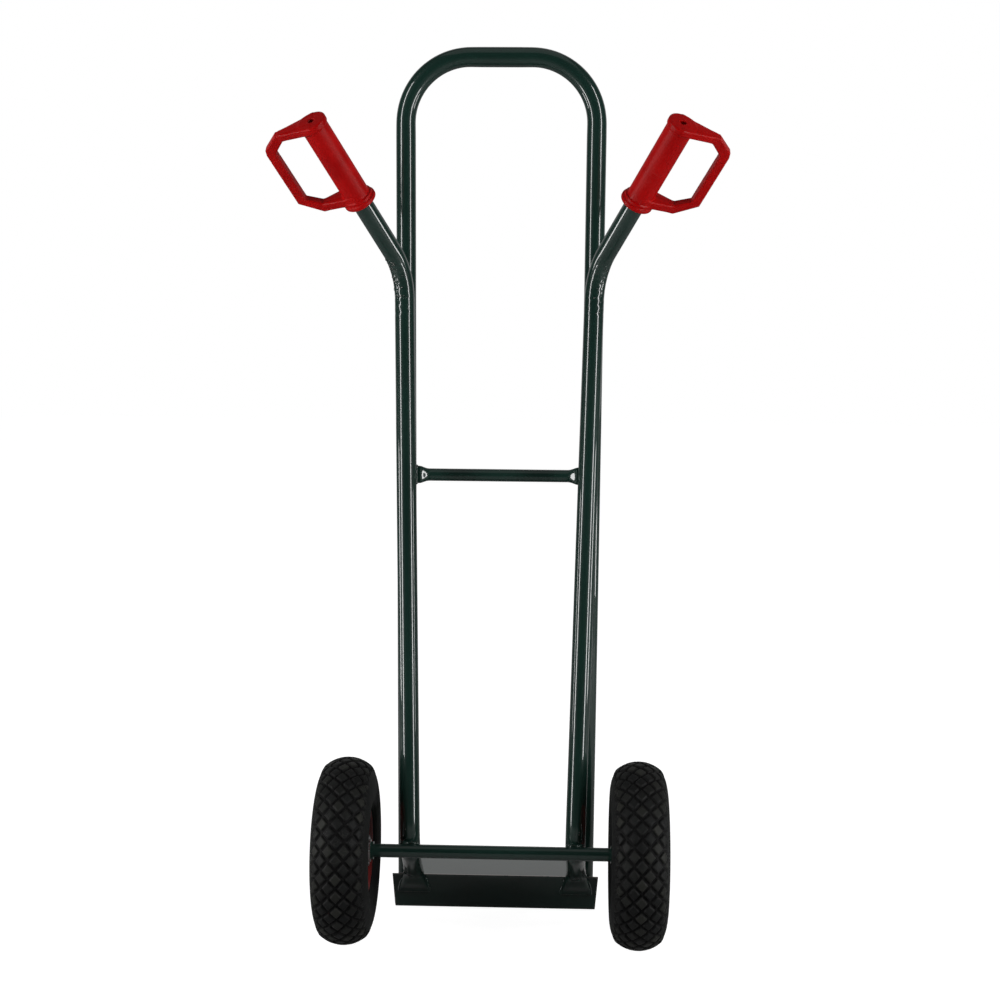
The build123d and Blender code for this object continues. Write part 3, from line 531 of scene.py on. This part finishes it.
def toePlateSurface():
    # The sheet's outline in y and z, carried across in x to a width that tapers along the plate, grows up
    # the flange and rounds off at the two front corners; both side edges are rounded over to the middle.
    rear, front, thick, edge, height = (plate[key] for key in ("rear", "front", "thick", "edge", "height"))
    underside, upperSide = [(rear, height), (rear, 0), (front, 0)], [(front, thick), (rear + thick, thick)]
    corners = [*underside, *upperSide, (rear + thick, height)]
    radii = [edge, plate["bend"] + thick, edge, edge, plate["bend"], edge]
    outline, _ = roundedRoute(corners, radii, 2.5, True)
    y, z = outline.T
    slope = tan(radians(plate["taper"]))
    half = plate["halfWidth"] + z * slope - np.maximum(y - rear - thick, 0) * slope
    pastCorner = np.clip(y - (front - plate["corner"]), 0, plate["corner"])
    half = half - (plate["corner"] - np.sqrt(plate["corner"] ** 2 - pastCorner ** 2))
    bendY, bendZ, middleR = rear + thick + plate["bend"], thick + plate["bend"], plate["bend"] + thick / 2
    away = unit(outline - [bendY, bendZ])
    onPlate, onFlange = y >= bendY, z >= bendZ
    flangeY = np.where(onFlange, rear + thick / 2, bendY + away[:, 0] * middleR)
    flangeZ = np.where(onFlange, np.minimum(z, height - edge), bendZ + away[:, 1] * middleR)
    middleY = np.where(onPlate, np.minimum(y, front - edge), flangeY)
    middleZ = np.where(onPlate, thick / 2, flangeZ)
    rolled = 1 - np.sin(np.linspace(0, pi / 2, 4))
    inset = np.concatenate([[0], edge * rolled, np.full(plate["rows"], edge), edge * rolled[::-1], [0]])
    drawnIn = 1 - edge / (thick / 2) * rolled
    keep = np.concatenate([[0], drawnIn, np.ones(plate["rows"]), drawnIn[::-1], [0]])
    share = np.concatenate([-np.ones(5), np.linspace(-1, 1, plate["rows"] + 2)[1:-1], np.ones(5)])
    x = share[:, None] * (half - inset[:, None] * (np.abs(share) == 1)[:, None])
    sheetY, sheetZ = middleY + (y - middleY) * keep[:, None], middleZ + (z - middleZ) * keep[:, None]
    nearFront = smoothStep(front - plate["wornFront"], front, y)
    nearEdge = np.maximum(nearFront, smoothStep(height - plate["wornTop"], height, z))
    nearSide = smoothStep(0.985, 1.0, np.abs(share))[:, None]
    return np.stack([x, sheetY, sheetZ], -1), np.maximum(nearSide, nearEdge)


platePoints, plateEdge = toePlateSurface()
plateFaces, plateMask = gridFaces(*platePoints.shape[:2]), {"edgeMask": plateEdge}
addPiece("toePlate", platePoints, plateFaces, framePaint, "frame", "frame_paint", ["toe_plate"], plateMask, 35)
print("toe plate made")

# Weld beads
weld = {
    "around": 14, "step": 0.45, "pitch": 1.9, "depth": 0.13, "wander": 0.35, "size": 3.0, "fine": 2.4,
    "thick": 3.9, "axleRadius": 9.5, "axleHalf": 10.0, "axleSpread": 6.0, "legX": -131.0, "legY": -119.5,
    "legLow": 15.0, "legHigh": 49.0, "legSpread": 8.0, "footY": -126.0, "footTopZ": 32.0, "meetBack": 14.0,
    "meetLength": 46.0, "meetSpread": 9.0, "barX": -119.4, "barRise": 11.75, "barSpread": 4.0,
    "dropSize": (0.7, 1.7), "dropTurn": (4.15, 0.42), "dropFlat": 0.7, "dropPaleTone": 0.8,
}


def rippledBead(start, end, radius, phase):
    # Round-ended bead: radius r * (1 + depth * |sin|) along its length, its middle line swaying a little.
    start, end = np.array(start, float), np.array(end, float)
    length = np.linalg.norm(end - start)
    along = (end - start) / length
    count = int((length + 2 * radius) / weld["step"])
    roundEnd = radius * np.cos(np.linspace(0, pi, 9))
    spots = np.concatenate([-roundEnd[:4], np.linspace(0, length, count), length - roundEnd[5:]])
    past = np.maximum(-spots, 0) + np.maximum(spots - length, 0)
    ripples = 1 + weld["depth"] * (np.abs(np.sin(pi * spots / weld["pitch"] + phase)) - 0.6)
    size = np.sqrt(np.maximum(radius ** 2 - past ** 2, 0)) * ripples
    square = unit(np.cross(along, [0.31, 0.53, 0.79]))  # any direction that no bead runs in
    sway = weld["wander"] * np.sin(spots * 0.55 + phase)
    route = start + np.outer(spots, along) + np.outer(sway, square)
    angle = np.linspace(0, 2 * pi, weld["around"], endpoint=False)
    outline = size[:, None, None] * np.stack([np.cos(angle), np.sin(angle)], -1)
    points = carried(route, np.tile(along, (len(route), 1)), square, outline)
    return points, gridFaces(len(route), weld["around"])


def beadPair(start, end, spread, radius):
    # The same bead on both sides of a middle line.
    start, end, spread = (np.array(value, float) for value in (start, end, spread))
    return [(start + spread * way, end + spread * way, radius) for way in (-1, 1)]


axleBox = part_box("axle")
axleY, axleZ = (axleBox[0].y + axleBox[1].y) / 2 / mm, (axleBox[0].z + axleBox[1].z) / 2 / mm
runDown = unit(np.array([footX, sideTube["bendY"], sideTube["bendZ"]]) - lower)
bendCentre = lower + unit(runUp + runDown) * sideTube["lowerBend"] / sin(np.arccos(runUp @ runDown) / 2)
toBend = unit(np.array([0, bendCentre[1] - axleY, bendCentre[2] - axleZ]))
touch = np.array([lower[0], axleY, axleZ]) + toBend * weld["axleRadius"]
halfBead, besideTouch = toRight * weld["axleHalf"], np.cross(toBend, [1, 0, 0]) * weld["axleSpread"]
flatWide, halfWayWide = sideTube["halfWide"][0], sideTube["halfWide"][2]
legLow, legHigh = ((weld["legX"], weld["legY"], weld[key]) for key in ("legLow", "legHigh"))
footLow, footTop = ((footX, weld["footY"], height) for height in (sideTube["footLowZ"], weld["footTopZ"]))
meetTop = meeting + [0, weld["meetBack"], 0]
barLow, barTop = ((weld["barX"], bar["y"], bar["z"] + way * weld["barRise"]) for way in (-1, 1))

beads = beadPair(touch - halfBead, touch + halfBead, besideTouch, weld["size"])
beads += beadPair(legLow, legHigh, (weld["legSpread"], 0, 0), weld["size"])
beads += beadPair(footLow, footTop, (flatWide, 0, 0), weld["fine"])
for way in (-1, 1):
    flatCorner = (footX + way * flatWide, weld["footY"], weld["footTopZ"])
    beads += [(flatCorner, (footX + way * halfWayWide, weld["footY"], sideTube["halfWayZ"]), weld["fine"])]
beads += [((footX - flatWide, *footLow[1:]), (footX + flatWide, *footLow[1:]), weld["fine"])]
beads += beadPair(meetTop - [0, 0, weld["meetLength"]], meetTop, (weld["meetSpread"], 0, 0), weld["thick"])
beads += beadPair(barLow, barTop, (0, weld["barSpread"], 0), weld["fine"])


def spatter(count, low, high, seed):
    # Small painted-over drops of weld metal on the side tube's bend: flattened balls, each at a random place
    # along the path and round the tube.
    random = np.random.default_rng(seed)
    where, turn = random.uniform(low, high, count), random.normal(*weld["dropTurn"], count)
    spots, ways = resampled(fineRoute, fineTangents, where)
    side = unit(np.array([1.0, 0, 0]) - ways[:, :1] * ways)
    outward = np.cos(turn)[:, None] * side + np.sin(turn)[:, None] * np.cross(ways, side)
    size = random.uniform(*weld["dropSize"], count)[:, None, None, None]
    rows, columns = 6, 8
    fromPole, around = np.linspace(0, pi, rows), np.linspace(0, 2 * pi, columns, endpoint=False)
    polar, angle = np.meshgrid(fromPole, around, indexing="ij")
    ball = np.stack([np.sin(polar) * np.cos(angle), np.sin(polar) * np.sin(angle), np.cos(polar)], -1)
    frames = np.stack([ways, np.cross(outward, ways), outward * weld["dropFlat"]], 1)
    onTube = (spots + outward * sideTube["radius"])[:, None, None]
    points = onTube + size * np.einsum("ijk,nkl->nijl", ball, frames)
    faces = gridFaces(rows, columns) + rows * columns * np.arange(count)[:, None, None]
    return points, faces.reshape(-1, 4)


leftWelds = joined([rippledBead(*one, 1.7 * count) for count, one in enumerate(beads)])
bendDrops = spatter(60, bendStart + 50, bendStart + 122, seed=5)
fewDrops = spatter(16, bendStart + 30, bendStart + 110, seed=9)
lowDrops = spatter(14, 150, 190, seed=3)
rightDrops = mirroredHalf(*joined([fewDrops, lowDrops]))
drops = joined([bendDrops, lowDrops, rightDrops])
weldPoints, weldFaces = joined([leftWelds, mirroredHalf(*leftWelds), drops])
# The drops are made paler, part way to the bare colour, through the edge mask.
onDrop = np.arange(len(weldPoints)) >= len(weldPoints) - len(drops[0])
weldMask = {"edgeMask": onDrop * weld["dropPaleTone"]}
addPiece("frameWelds", weldPoints, weldFaces, framePaint, "frame", "frame_paint", ["frame_welds"], weldMask, 60)
print("welds made")

# Grips: sleeve, cap, collar and guard as one moulding
grip = {
    "length": 142.0, "sleeve": 18.2, "cap": 20.0, "capT": 9.0, "wall": 10.0, "bore": 14.06, "hole": 4.6,
    "collar": 23.3, "collarT": 6.0, "step": 20.9, "stepT": 5.0, "halfDepth": 6.5, "rootHalf": 19.0,
    "armEnd": 51.5, "topArm": 10.5, "lowArm": 12.0, "lowEdge": 135.0, "blend": 2.4, "edge": 2.2, "cell": 0.86,
    "sleeveEdge": 1.5, "capEdge": 2.6, "stepEdge": 1.4, "collarEdge": 1.8, "ticks": (34, 66, 98),
    "tickDepth": 0.5, "tickFrom": 60, "tickTo": 66,
}
guardOuter = [(0, 0), (55.5, 0), (77.5, -15.5), (79.5, -23), (79.5, -110), (52.5, -135), (0, -138)]
guardInner = [(0, -12), (47.5, -10.5), (66.5, -25), (66.5, -108), (46.5, -123), (0, -123)]


def softMax(first, second, reach):
    # Larger of two distances, rounded over the given reach.
    near = np.maximum(reach - np.abs(first - second), 0) / reach
    return np.maximum(first, second) + near * near * reach / 4


def softMin(first, second, reach):
    return -softMax(-first, -second, reach)


def polygonDistance(x, z, corners):
    # Signed distance to a polygon: the nearest edge, negative where a ray crosses an odd number of edges.
    nearest, inside = np.full(x.shape, 1e9), np.zeros(x.shape, bool)
    for (ax, az), (bx, bz) in zip(corners, corners[1:] + corners[:1]):
        edgeX, edgeZ = bx - ax, bz - az
        share = np.clip(((x - ax) * edgeX + (z - az) * edgeZ) / (edgeX ** 2 + edgeZ ** 2), 0, 1)
        nearest = np.minimum(nearest, np.hypot(x - ax - share * edgeX, z - az - share * edgeZ))
        if az != bz:
            inside ^= ((az > z) != (bz > z)) & (x < edgeX * (z - az) / edgeZ + ax)
    return np.where(inside, -nearest, nearest)


def disc(radial, z, size, top, bottom, edge):
    # Distance to a round plate about the grip's axis, its rims rounded.
    return softMax(radial - size, np.maximum(z - top, bottom - z), edge)


def gripDistance(x, y, z):
    # Distances to the sleeve, discs, arms and guard, melted together, less the bore and the end hole.
    radial, length = np.hypot(x, y), grip["length"]
    collarTop = grip["collarT"] - length
    shape = disc(radial, z, grip["sleeve"], 0, -length, grip["sleeveEdge"])
    cap = disc(radial, z, grip["cap"], 0, -grip["capT"], grip["capEdge"])
    step = disc(radial, z, grip["step"], collarTop + grip["stepT"], collarTop, grip["stepEdge"])
    collar = disc(radial, z, grip["collar"], collarTop, -length, grip["collarEdge"])
    shape = softMin(softMin(softMin(shape, cap, 1.2), step, 1.0), collar, 1.0)
    ring = softMax(polygonDistance(x, z, guardOuter), -polygonDistance(x, z, guardInner), 1.5)
    toTick = np.minimum.reduce([np.abs(z + spot) for spot in grip["ticks"]])
    tick = (1 - smoothStep(0.3, 1.1, toTick)) * smoothStep(grip["tickFrom"], grip["tickTo"], x)
    depth = grip["halfDepth"] - grip["tickDepth"] * tick
    ring = softMax(ring, np.abs(y) - depth, grip["edge"])
    taper = grip["rootHalf"] + (grip["halfDepth"] - grip["rootHalf"]) * np.clip(x, 0, None) / grip["armEnd"]
    plan = np.maximum(softMax((np.abs(y) - taper) * 0.96, x - grip["armEnd"], 2.0), -x)
    topArm = softMax(plan, np.maximum(z, -grip["topArm"] - z), grip["edge"])
    offLowArm = np.maximum(z + grip["lowEdge"] - grip["lowArm"], -grip["lowEdge"] - z)
    lowArm = softMax(plan, offLowArm, grip["edge"])
    guard = softMin(softMin(ring, topArm, 1.5), lowArm, 1.5)
    shape = softMin(shape, guard, grip["blend"])
    shape = softMax(shape, -np.maximum(radial - grip["bore"], z + grip["wall"]), 0.4)
    return softMax(shape, -(radial - grip["hole"]), 0.8)


def netSurface(distance, low, high, cell):
    # Each cell of a grid that the surface passes through gets one point, at the mean of the crossings on
    # its edges, then moved on to the surface along the slope; each crossed grid edge gets a four-sided face.
    axes = [np.arange(a, b, cell) for a, b in zip(low, high)]
    value = distance(*np.meshgrid(*axes, indexing="ij"))
    shape = np.array(value.shape)
    total, count, crossings = np.zeros((shape.prod(), 3)), np.zeros(shape.prod()), []
    for axis in range(3):
        first, second = np.moveaxis(value, axis, 0)[:-1], np.moveaxis(value, axis, 0)[1:]
        spots = np.argwhere((first < 0) != (second < 0))
        before, after = first[tuple(spots.T)], second[tuple(spots.T)]
        index = np.insert(spots[:, 1:], axis, spots[:, 0], axis=1)
        point = np.array(low) + index * cell
        point[:, axis] += cell * before / (before - after)
        around = np.zeros((4, 3), int)
        around[:, (axis + 1) % 3] = [-1, 0, 0, -1]
        around[:, (axis + 2) % 3] = [-1, -1, 0, 0]
        cells = np.stack([np.ravel_multi_index((index + shiftBy).T, shape) for shiftBy in around], -1)
        for column in cells.T:
            count += np.bincount(column, minlength=len(count))
            for way in range(3):
                total[:, way] += np.bincount(column, point[:, way], len(count))
        crossings.append(np.where((before < 0)[:, None], cells, cells[:, ::-1]))
    used = count > 0
    number = np.cumsum(used) - 1
    points = total[used] / count[used][:, None]
    for _ in range(3):
        here, slope = distance(*points.T), np.zeros_like(points)
        for way in range(3):
            nudge = np.eye(3)[way] * 0.05
            slope[:, way] = (distance(*(points + nudge).T) - distance(*(points - nudge).T)) / 0.1
        steepness = np.maximum((slope ** 2).sum(1), 0.25)
        points -= np.clip(here / steepness, -cell / 2, cell / 2)[:, None] * slope
    return points, number[np.vstack(crossings)]


localPoints, gripFaces = netSurface(gripDistance, (-26, -26, -145), (82.5, 26, 3), grip["cell"])
guardOut = unit(np.array([-1.0, 0, 0]) + handleOut * handleOut[0])
guardAcross = np.cross(handleOut, guardOut)
gripPoints = gripEnd + localPoints @ np.stack([guardOut, guardAcross, handleOut])
rightGripSurface = mirroredHalf(gripPoints, gripFaces)
for sideName, surface in (("left", (gripPoints, gripFaces)), ("right", rightGripSurface)):
    replacedGrip = [sideName + "_grip"]
    addPiece(sideName + "Grip", *surface, gripPlastic, "frame", "grip_plastic", replacedGrip, None, 75, False)
print("grips made:", len(gripFaces), "faces each")

# Wheels
wheel = {
    "centreX": 204.7, "radius": 130.0, "around": 640, "blocks": 32, "blockWide": 22.0, "blockShare": 0.335,
    "grooveDepth": 3.4, "treadHalf": 41.0, "rimAround": 144, "grooveSlope": 0.075, "ribHeight": 0.45,
    "flankRings": (47.0, 52.0, 86.0), "ringHeight": 0.5, "ringWidth": 0.7, "flankFrom": 40, "flankTo": 92,
    "blockDust": 0.6, "dustSeed": 7,
}


def arcThrough(start, middle, end, count):
    # Points on the circle through three points, the end left out.
    (ax, ay), (bx, by), (cx, cy) = start, middle, end
    twice = 2 * (ax * (by - cy) + bx * (cy - ay) + cx * (ay - by))
    aa, bb, cc = ax * ax + ay * ay, bx * bx + by * by, cx * cx + cy * cy
    ux = (aa * (by - cy) + bb * (cy - ay) + cc * (ay - by)) / twice
    uy = (aa * (cx - bx) + bb * (ax - cx) + cc * (bx - ax)) / twice
    angles = [np.arctan2(py - uy, px - ux) for px, py in (start, middle, end)]
    sweep = (angles[2] - angles[0]) % (2 * pi)
    if (angles[1] - angles[0]) % (2 * pi) > sweep:
        sweep -= 2 * pi
    turn = angles[0] + np.linspace(0, sweep, count, endpoint=False)
    radius = np.hypot(ax - ux, ay - uy)
    return np.stack([ux + radius * np.cos(turn), uy + radius * np.sin(turn)], -1)


def runBetween(start, end, count):
    start, end = np.array(start), np.array(end)
    return start + np.outer(np.linspace(0, 1, count, endpoint=False), end - start)


def turnedAboutAxle(profile, around, side):
    # A profile of (x, radius) turned about the wheel's axis.
    angle = np.linspace(0, 2 * pi, around, endpoint=False)[:, None]
    x, radius = profile[..., 0], profile[..., 1]
    centre = side * wheel["centreX"]
    y, z = axleY + radius * np.sin(angle), axleZ + radius * np.cos(angle)
    return np.stack([centre + side * x + 0 * angle, y, z], -1)


def tyreProfile():
    # The section as (x, radius), round the outside and back round the cavity: both flanks, the tread and the
    # cavity's walls and roof are arcs.
    def acrossAxle(spots):
        return [(-x, radius) for x, radius in spots]

    flank, cavity = [(32.5, 61.5), (40.15, 90), (31.6, 118)], [(21, 62.5), (34.15, 90), (25.5, 111)]
    seat, floor = [(15, 51), (25.8, 51), (25.8, 60.5), (32.5, 61.5)], [(15, 51), (15, 60.5), (21, 62.5)]
    outer = [runBetween(start, end, 3) for start, end in zip(acrossAxle(seat), acrossAxle(seat[1:]))]
    outer += [arcThrough(*acrossAxle(flank), 22)]
    outer += [arcThrough((-31.6, 118), (0, wheel["radius"]), (31.6, 118), 66), arcThrough(*flank[::-1], 22)]
    outer += [runBetween(start, end, 3) for start, end in zip(seat[::-1], seat[-2::-1])]
    inner = [runBetween(start, end, 1) for start, end in zip(floor, floor[1:])]
    inner += [arcThrough(*cavity, 4), arcThrough((25.5, 111), (0, 120), (-25.5, 111), 5)]
    inner += [arcThrough(*acrossAxle(cavity[::-1]), 4)]
    inner += [runBetween(*acrossAxle(pair), 1) for pair in zip(floor[::-1], floor[-2::-1])]
    outerPoints, innerPoints = np.vstack(outer), np.vstack(inner)
    return np.vstack([outerPoints, innerPoints]), len(outerPoints)


def tyreSurface():
    # Diamond blocks: with the girth and the width measured in blocks, p and q, the lines p + q and p - q
    # give two crossing families of grooves; a point is on a block where it is near the middle of both.
    profile, outerCount = tyreProfile()
    steps = np.linalg.norm(np.diff(profile[:outerCount], axis=0), axis=1)
    crown = np.argmax(profile[:outerCount, 1])
    width = np.concatenate([[0], np.cumsum(steps)])
    width = width - width[crown]
    slope = unit(np.gradient(profile[:outerCount], axis=0))
    outward = np.stack([-slope[:, 1], slope[:, 0]], -1)
    girth = np.linspace(0, wheel["blocks"], wheel["around"], endpoint=False)[:, None]
    across = width[None] / wheel["blockWide"]
    first, second = girth + across, girth - across
    offBlock = np.maximum(np.abs(first - np.round(first)), np.abs(second - np.round(second)))
    groove = smoothStep(wheel["blockShare"], wheel["blockShare"] + wheel["grooveSlope"], offBlock)
    fineRib = wheel["ribHeight"] * (1 - smoothStep(0.0, 0.05, 0.5 - offBlock))
    fromCrown = np.abs(width)
    lipFade = 1 - smoothStep(wheel["treadHalf"] - 1.5, wheel["treadHalf"] + 1.5, fromCrown)[None]
    depth = wheel["grooveDepth"] * (groove - fineRib) * lipFade
    rings = sum(np.exp(-((fromCrown - spot) / wheel["ringWidth"]) ** 2) for spot in wheel["flankRings"])
    onFlank = (fromCrown > wheel["flankFrom"]) & (fromCrown < wheel["flankTo"])
    sink = -depth + (wheel["ringHeight"] * onFlank * (rings - 1))[None]
    full = np.tile(profile[None], (wheel["around"], 1, 1))
    full[:, :outerCount] += sink[..., None] * outward[None]
    # Groove mask: where painted shade darkens the grooves, which are also made a little rougher.
    mask = np.zeros(full.shape[:2])
    mask[:, :outerCount] = np.clip((groove - fineRib) * lipFade, 0, 1) ** 0.7
    # Dust sits on some blocks and not on others: one random number for each block, from its p and q.
    blockTone = np.random.default_rng(wheel["dustSeed"]).random((64, 64)) ** 3
    firstBlock, secondBlock = (np.round(value).astype(int) % wheel["blocks"] for value in (first, second))
    dusty = np.zeros(full.shape[:2])
    dusty[:, :outerCount] = blockTone[firstBlock, secondBlock] * (1 - groove) * lipFade * wheel["blockDust"]
    return full, mask, dusty


def rimProfile():
    # Pressed sheet: disc, well, bead seat and lip, its corners rounded.
    corners = [
        (0, 21.55), (2, 21.55), (2, 46), (12.5, 46), (14.5, 48.8), (28, 48.8), (28, 58), (31, 58), (31, 60),
        (26, 60), (26, 50.8), (13.7, 50.8), (11.7, 48), (0, 48),
    ]
    radii = [0.4, 0.4, 2.5, 0.7, 0.7, 2.4, 2.4, 0.9, 0.9, 2.2, 0.4, 0.9, 0.9, 0.9]
    profile, _ = roundedRoute(corners, radii, 1.2, True)
    return profile


tyreFull, tyreMask, tyreDusty = tyreSurface()
rimShape = rimProfile()
tyreFaces = gridFaces(wheel["around"], tyreFull.shape[1], True, True)
rimFaces = gridFaces(wheel["rimAround"], len(rimShape), True, True)
tyreMasks = {"grooveMask": tyreMask, "blockMask": tyreDusty}
for sideName, side in (("left", -1), ("right", 1)):
    body = sideName + "_wheel"
    tyreRing = turnedAboutAxle(tyreFull, wheel["around"], side)
    finish, replaced = (tyreRubber, body, "tyre_rubber"), [sideName + "_tyre"]
    addPiece(sideName + "Tyre", tyreRing, tyreFaces, *finish, replaced, tyreMasks, 180)
    for half, way in (("Outer", side), ("Inner", -side)):
        rimRing = turnedAboutAxle(rimShape[None] * [way * side, 1], wheel["rimAround"], side)
        finish, replaced = (rimPaint, body, "rim_paint"), [f"{sideName}_rim_{half.lower()}_half"]
        addPiece(sideName + "Rim" + half, rimRing, rimFaces, *finish, replaced, None, 50)
print("wheels made")

# Floor, light and camera
studio = {
    "floorHalf": 9.0, "boxAngle": 53.0, "boxReach": 2.3, "boxWide": 0.30, "boxTall": 2.5, "boxPower": 36.0,
    "topPlace": (0.2, -0.6, 3.4), "topAim": (0, 0, 0.4), "topSize": 2.4, "topPower": 5.0, "stripOut": 2.2,
    "stripBack": 0.25, "stripHigh": 0.43, "stripTall": 0.66, "stripPower": 8.0, "handle": (0.22, -0.26, 1.05),
    "floorSeen": 0.95, "floorGlow": 0.04, "dimSide": 0.026, "brightSide": 0.56, "overhead": 0.035,
}


def areaLight(name, location, target, wide, tall, power):
    data = bpy.data.lights.new(name, "AREA")
    data.shape, data.size, data.size_y, data.energy = "RECTANGLE", wide, tall, power
    lamp = bpy.data.objects.new(name, data)
    turned = (Vector(location) - Vector(target)).to_track_quat("Z", "Y").to_matrix().to_4x4()
    lamp.matrix_world = Matrix.Translation(location) @ turned
    lamp.visible_camera = False
    scene.collection.objects.link(lamp)


boxTurn, boxReach = radians(studio["boxAngle"]), studio["boxReach"]
for sideName, side in (("Left", -1), ("Right", 1)):
    spot = (side * boxReach * sin(boxTurn), -boxReach * cos(boxTurn), studio["boxTall"] / 2)
    boxSize, stripSize = (studio["boxWide"], studio["boxTall"]), (studio["boxWide"], studio["stripTall"])
    areaLight("tallBox" + sideName, spot, (0, 0, spot[2]), *boxSize, studio["boxPower"])
    strip = (side * studio["stripOut"], -studio["stripBack"], studio["stripHigh"])
    farHandle = (-side * studio["handle"][0], *studio["handle"][1:])
    areaLight("sideStrip" + sideName, strip, farHandle, *stripSize, studio["stripPower"])
topSize = studio["topSize"]
areaLight("topBox", studio["topPlace"], studio["topAim"], topSize, topSize, studio["topPower"])

floorMesh = bpy.data.meshes.new("studioFloor")
reach = studio["floorHalf"]
floorCorners = [(-reach, -reach, 0), (reach, -reach, 0), (reach, reach, 0), (-reach, reach, 0)]
floorMesh.from_pydata(floorCorners, [], [(0, 1, 2, 3)])
floor = bpy.data.objects.new("studioFloor", floorMesh)
scene.collection.objects.link(floor)
pale, white = (0.40, 0.40, 0.40, 1), (1, 1, 1, 1)
floorLook, floorTree, floorShader = newLook("floorPale", Base_Color=pale, Roughness=0.85, Emission_Color=white)
seenFloor = addNode(floorTree, "ShaderNodeLightPath").outputs["Is Camera Ray"]
glow = {"n3": studio["floorGlow"], "n4": studio["floorSeen"]}
floorGlow = addNode(floorTree, "ShaderNodeMapRange", None, n0=seenFloor, **glow).outputs[0]
link(floorTree, floorGlow, floorShader, "Emission Strength")
floorMesh.materials.append(floorLook)

world = bpy.data.worlds.new("studioWorld")
scene.world = world
world.use_nodes = True
sky = world.node_tree
shown, lit = sky.nodes["Background"], sky.nodes.new("ShaderNodeBackground")
shown.inputs["Color"].default_value = white
direction = addNode(sky, "ShaderNodeTexCoord").outputs["Generated"]
parts = addNode(sky, "ShaderNodeSeparateXYZ", None, Vector=direction).outputs
toLoad = ramped(sky, parts[1], 0.35, 0.97, studio["dimSide"], studio["brightSide"])
overhead = ramped(sky, parts[2], 0.3, 1.0, 0.0, studio["overhead"])
link(sky, math(sky, "ADD", toLoad, overhead), lit, "Strength")
seenSky = addNode(sky, "ShaderNodeLightPath").outputs["Is Camera Ray"]
choose = addNode(sky, "ShaderNodeMixShader", None, n0=seenSky, n1=lit.outputs[0], n2=shown.outputs[0])
link(sky, choose.outputs[0], sky.nodes["World Output"], "Surface")
scene.view_settings.view_transform = "Standard"

view = {
    "place": (0.0903, -2.6785, 0.930), "yaw": 1.96, "pitch": -7.09, "roll": 0.45, "lens": 64.24,
    "sensor": 36.0,
}
yaw, pitch, roll = (radians(view[key]) for key in ("yaw", "pitch", "roll"))
ahead = Vector((-sin(yaw) * cos(pitch), cos(yaw) * cos(pitch), sin(pitch)))
right = Vector((cos(yaw), sin(yaw), 0))
up = right.cross(ahead)
rolledRight, rolledUp = cos(roll) * right + sin(roll) * up, cos(roll) * up - sin(roll) * right
cameraData = bpy.data.cameras.new("viewCamera")
cameraData.lens, cameraData.sensor_width = view["lens"], view["sensor"]
camera = bpy.data.objects.new("viewCamera", cameraData)
turnedView = Matrix((rolledRight, rolledUp, -ahead)).transposed().to_4x4()
camera.matrix_world = Matrix.Translation(view["place"]) @ turnedView
scene.collection.objects.link(camera)
scene.camera = camera
print("studio set")
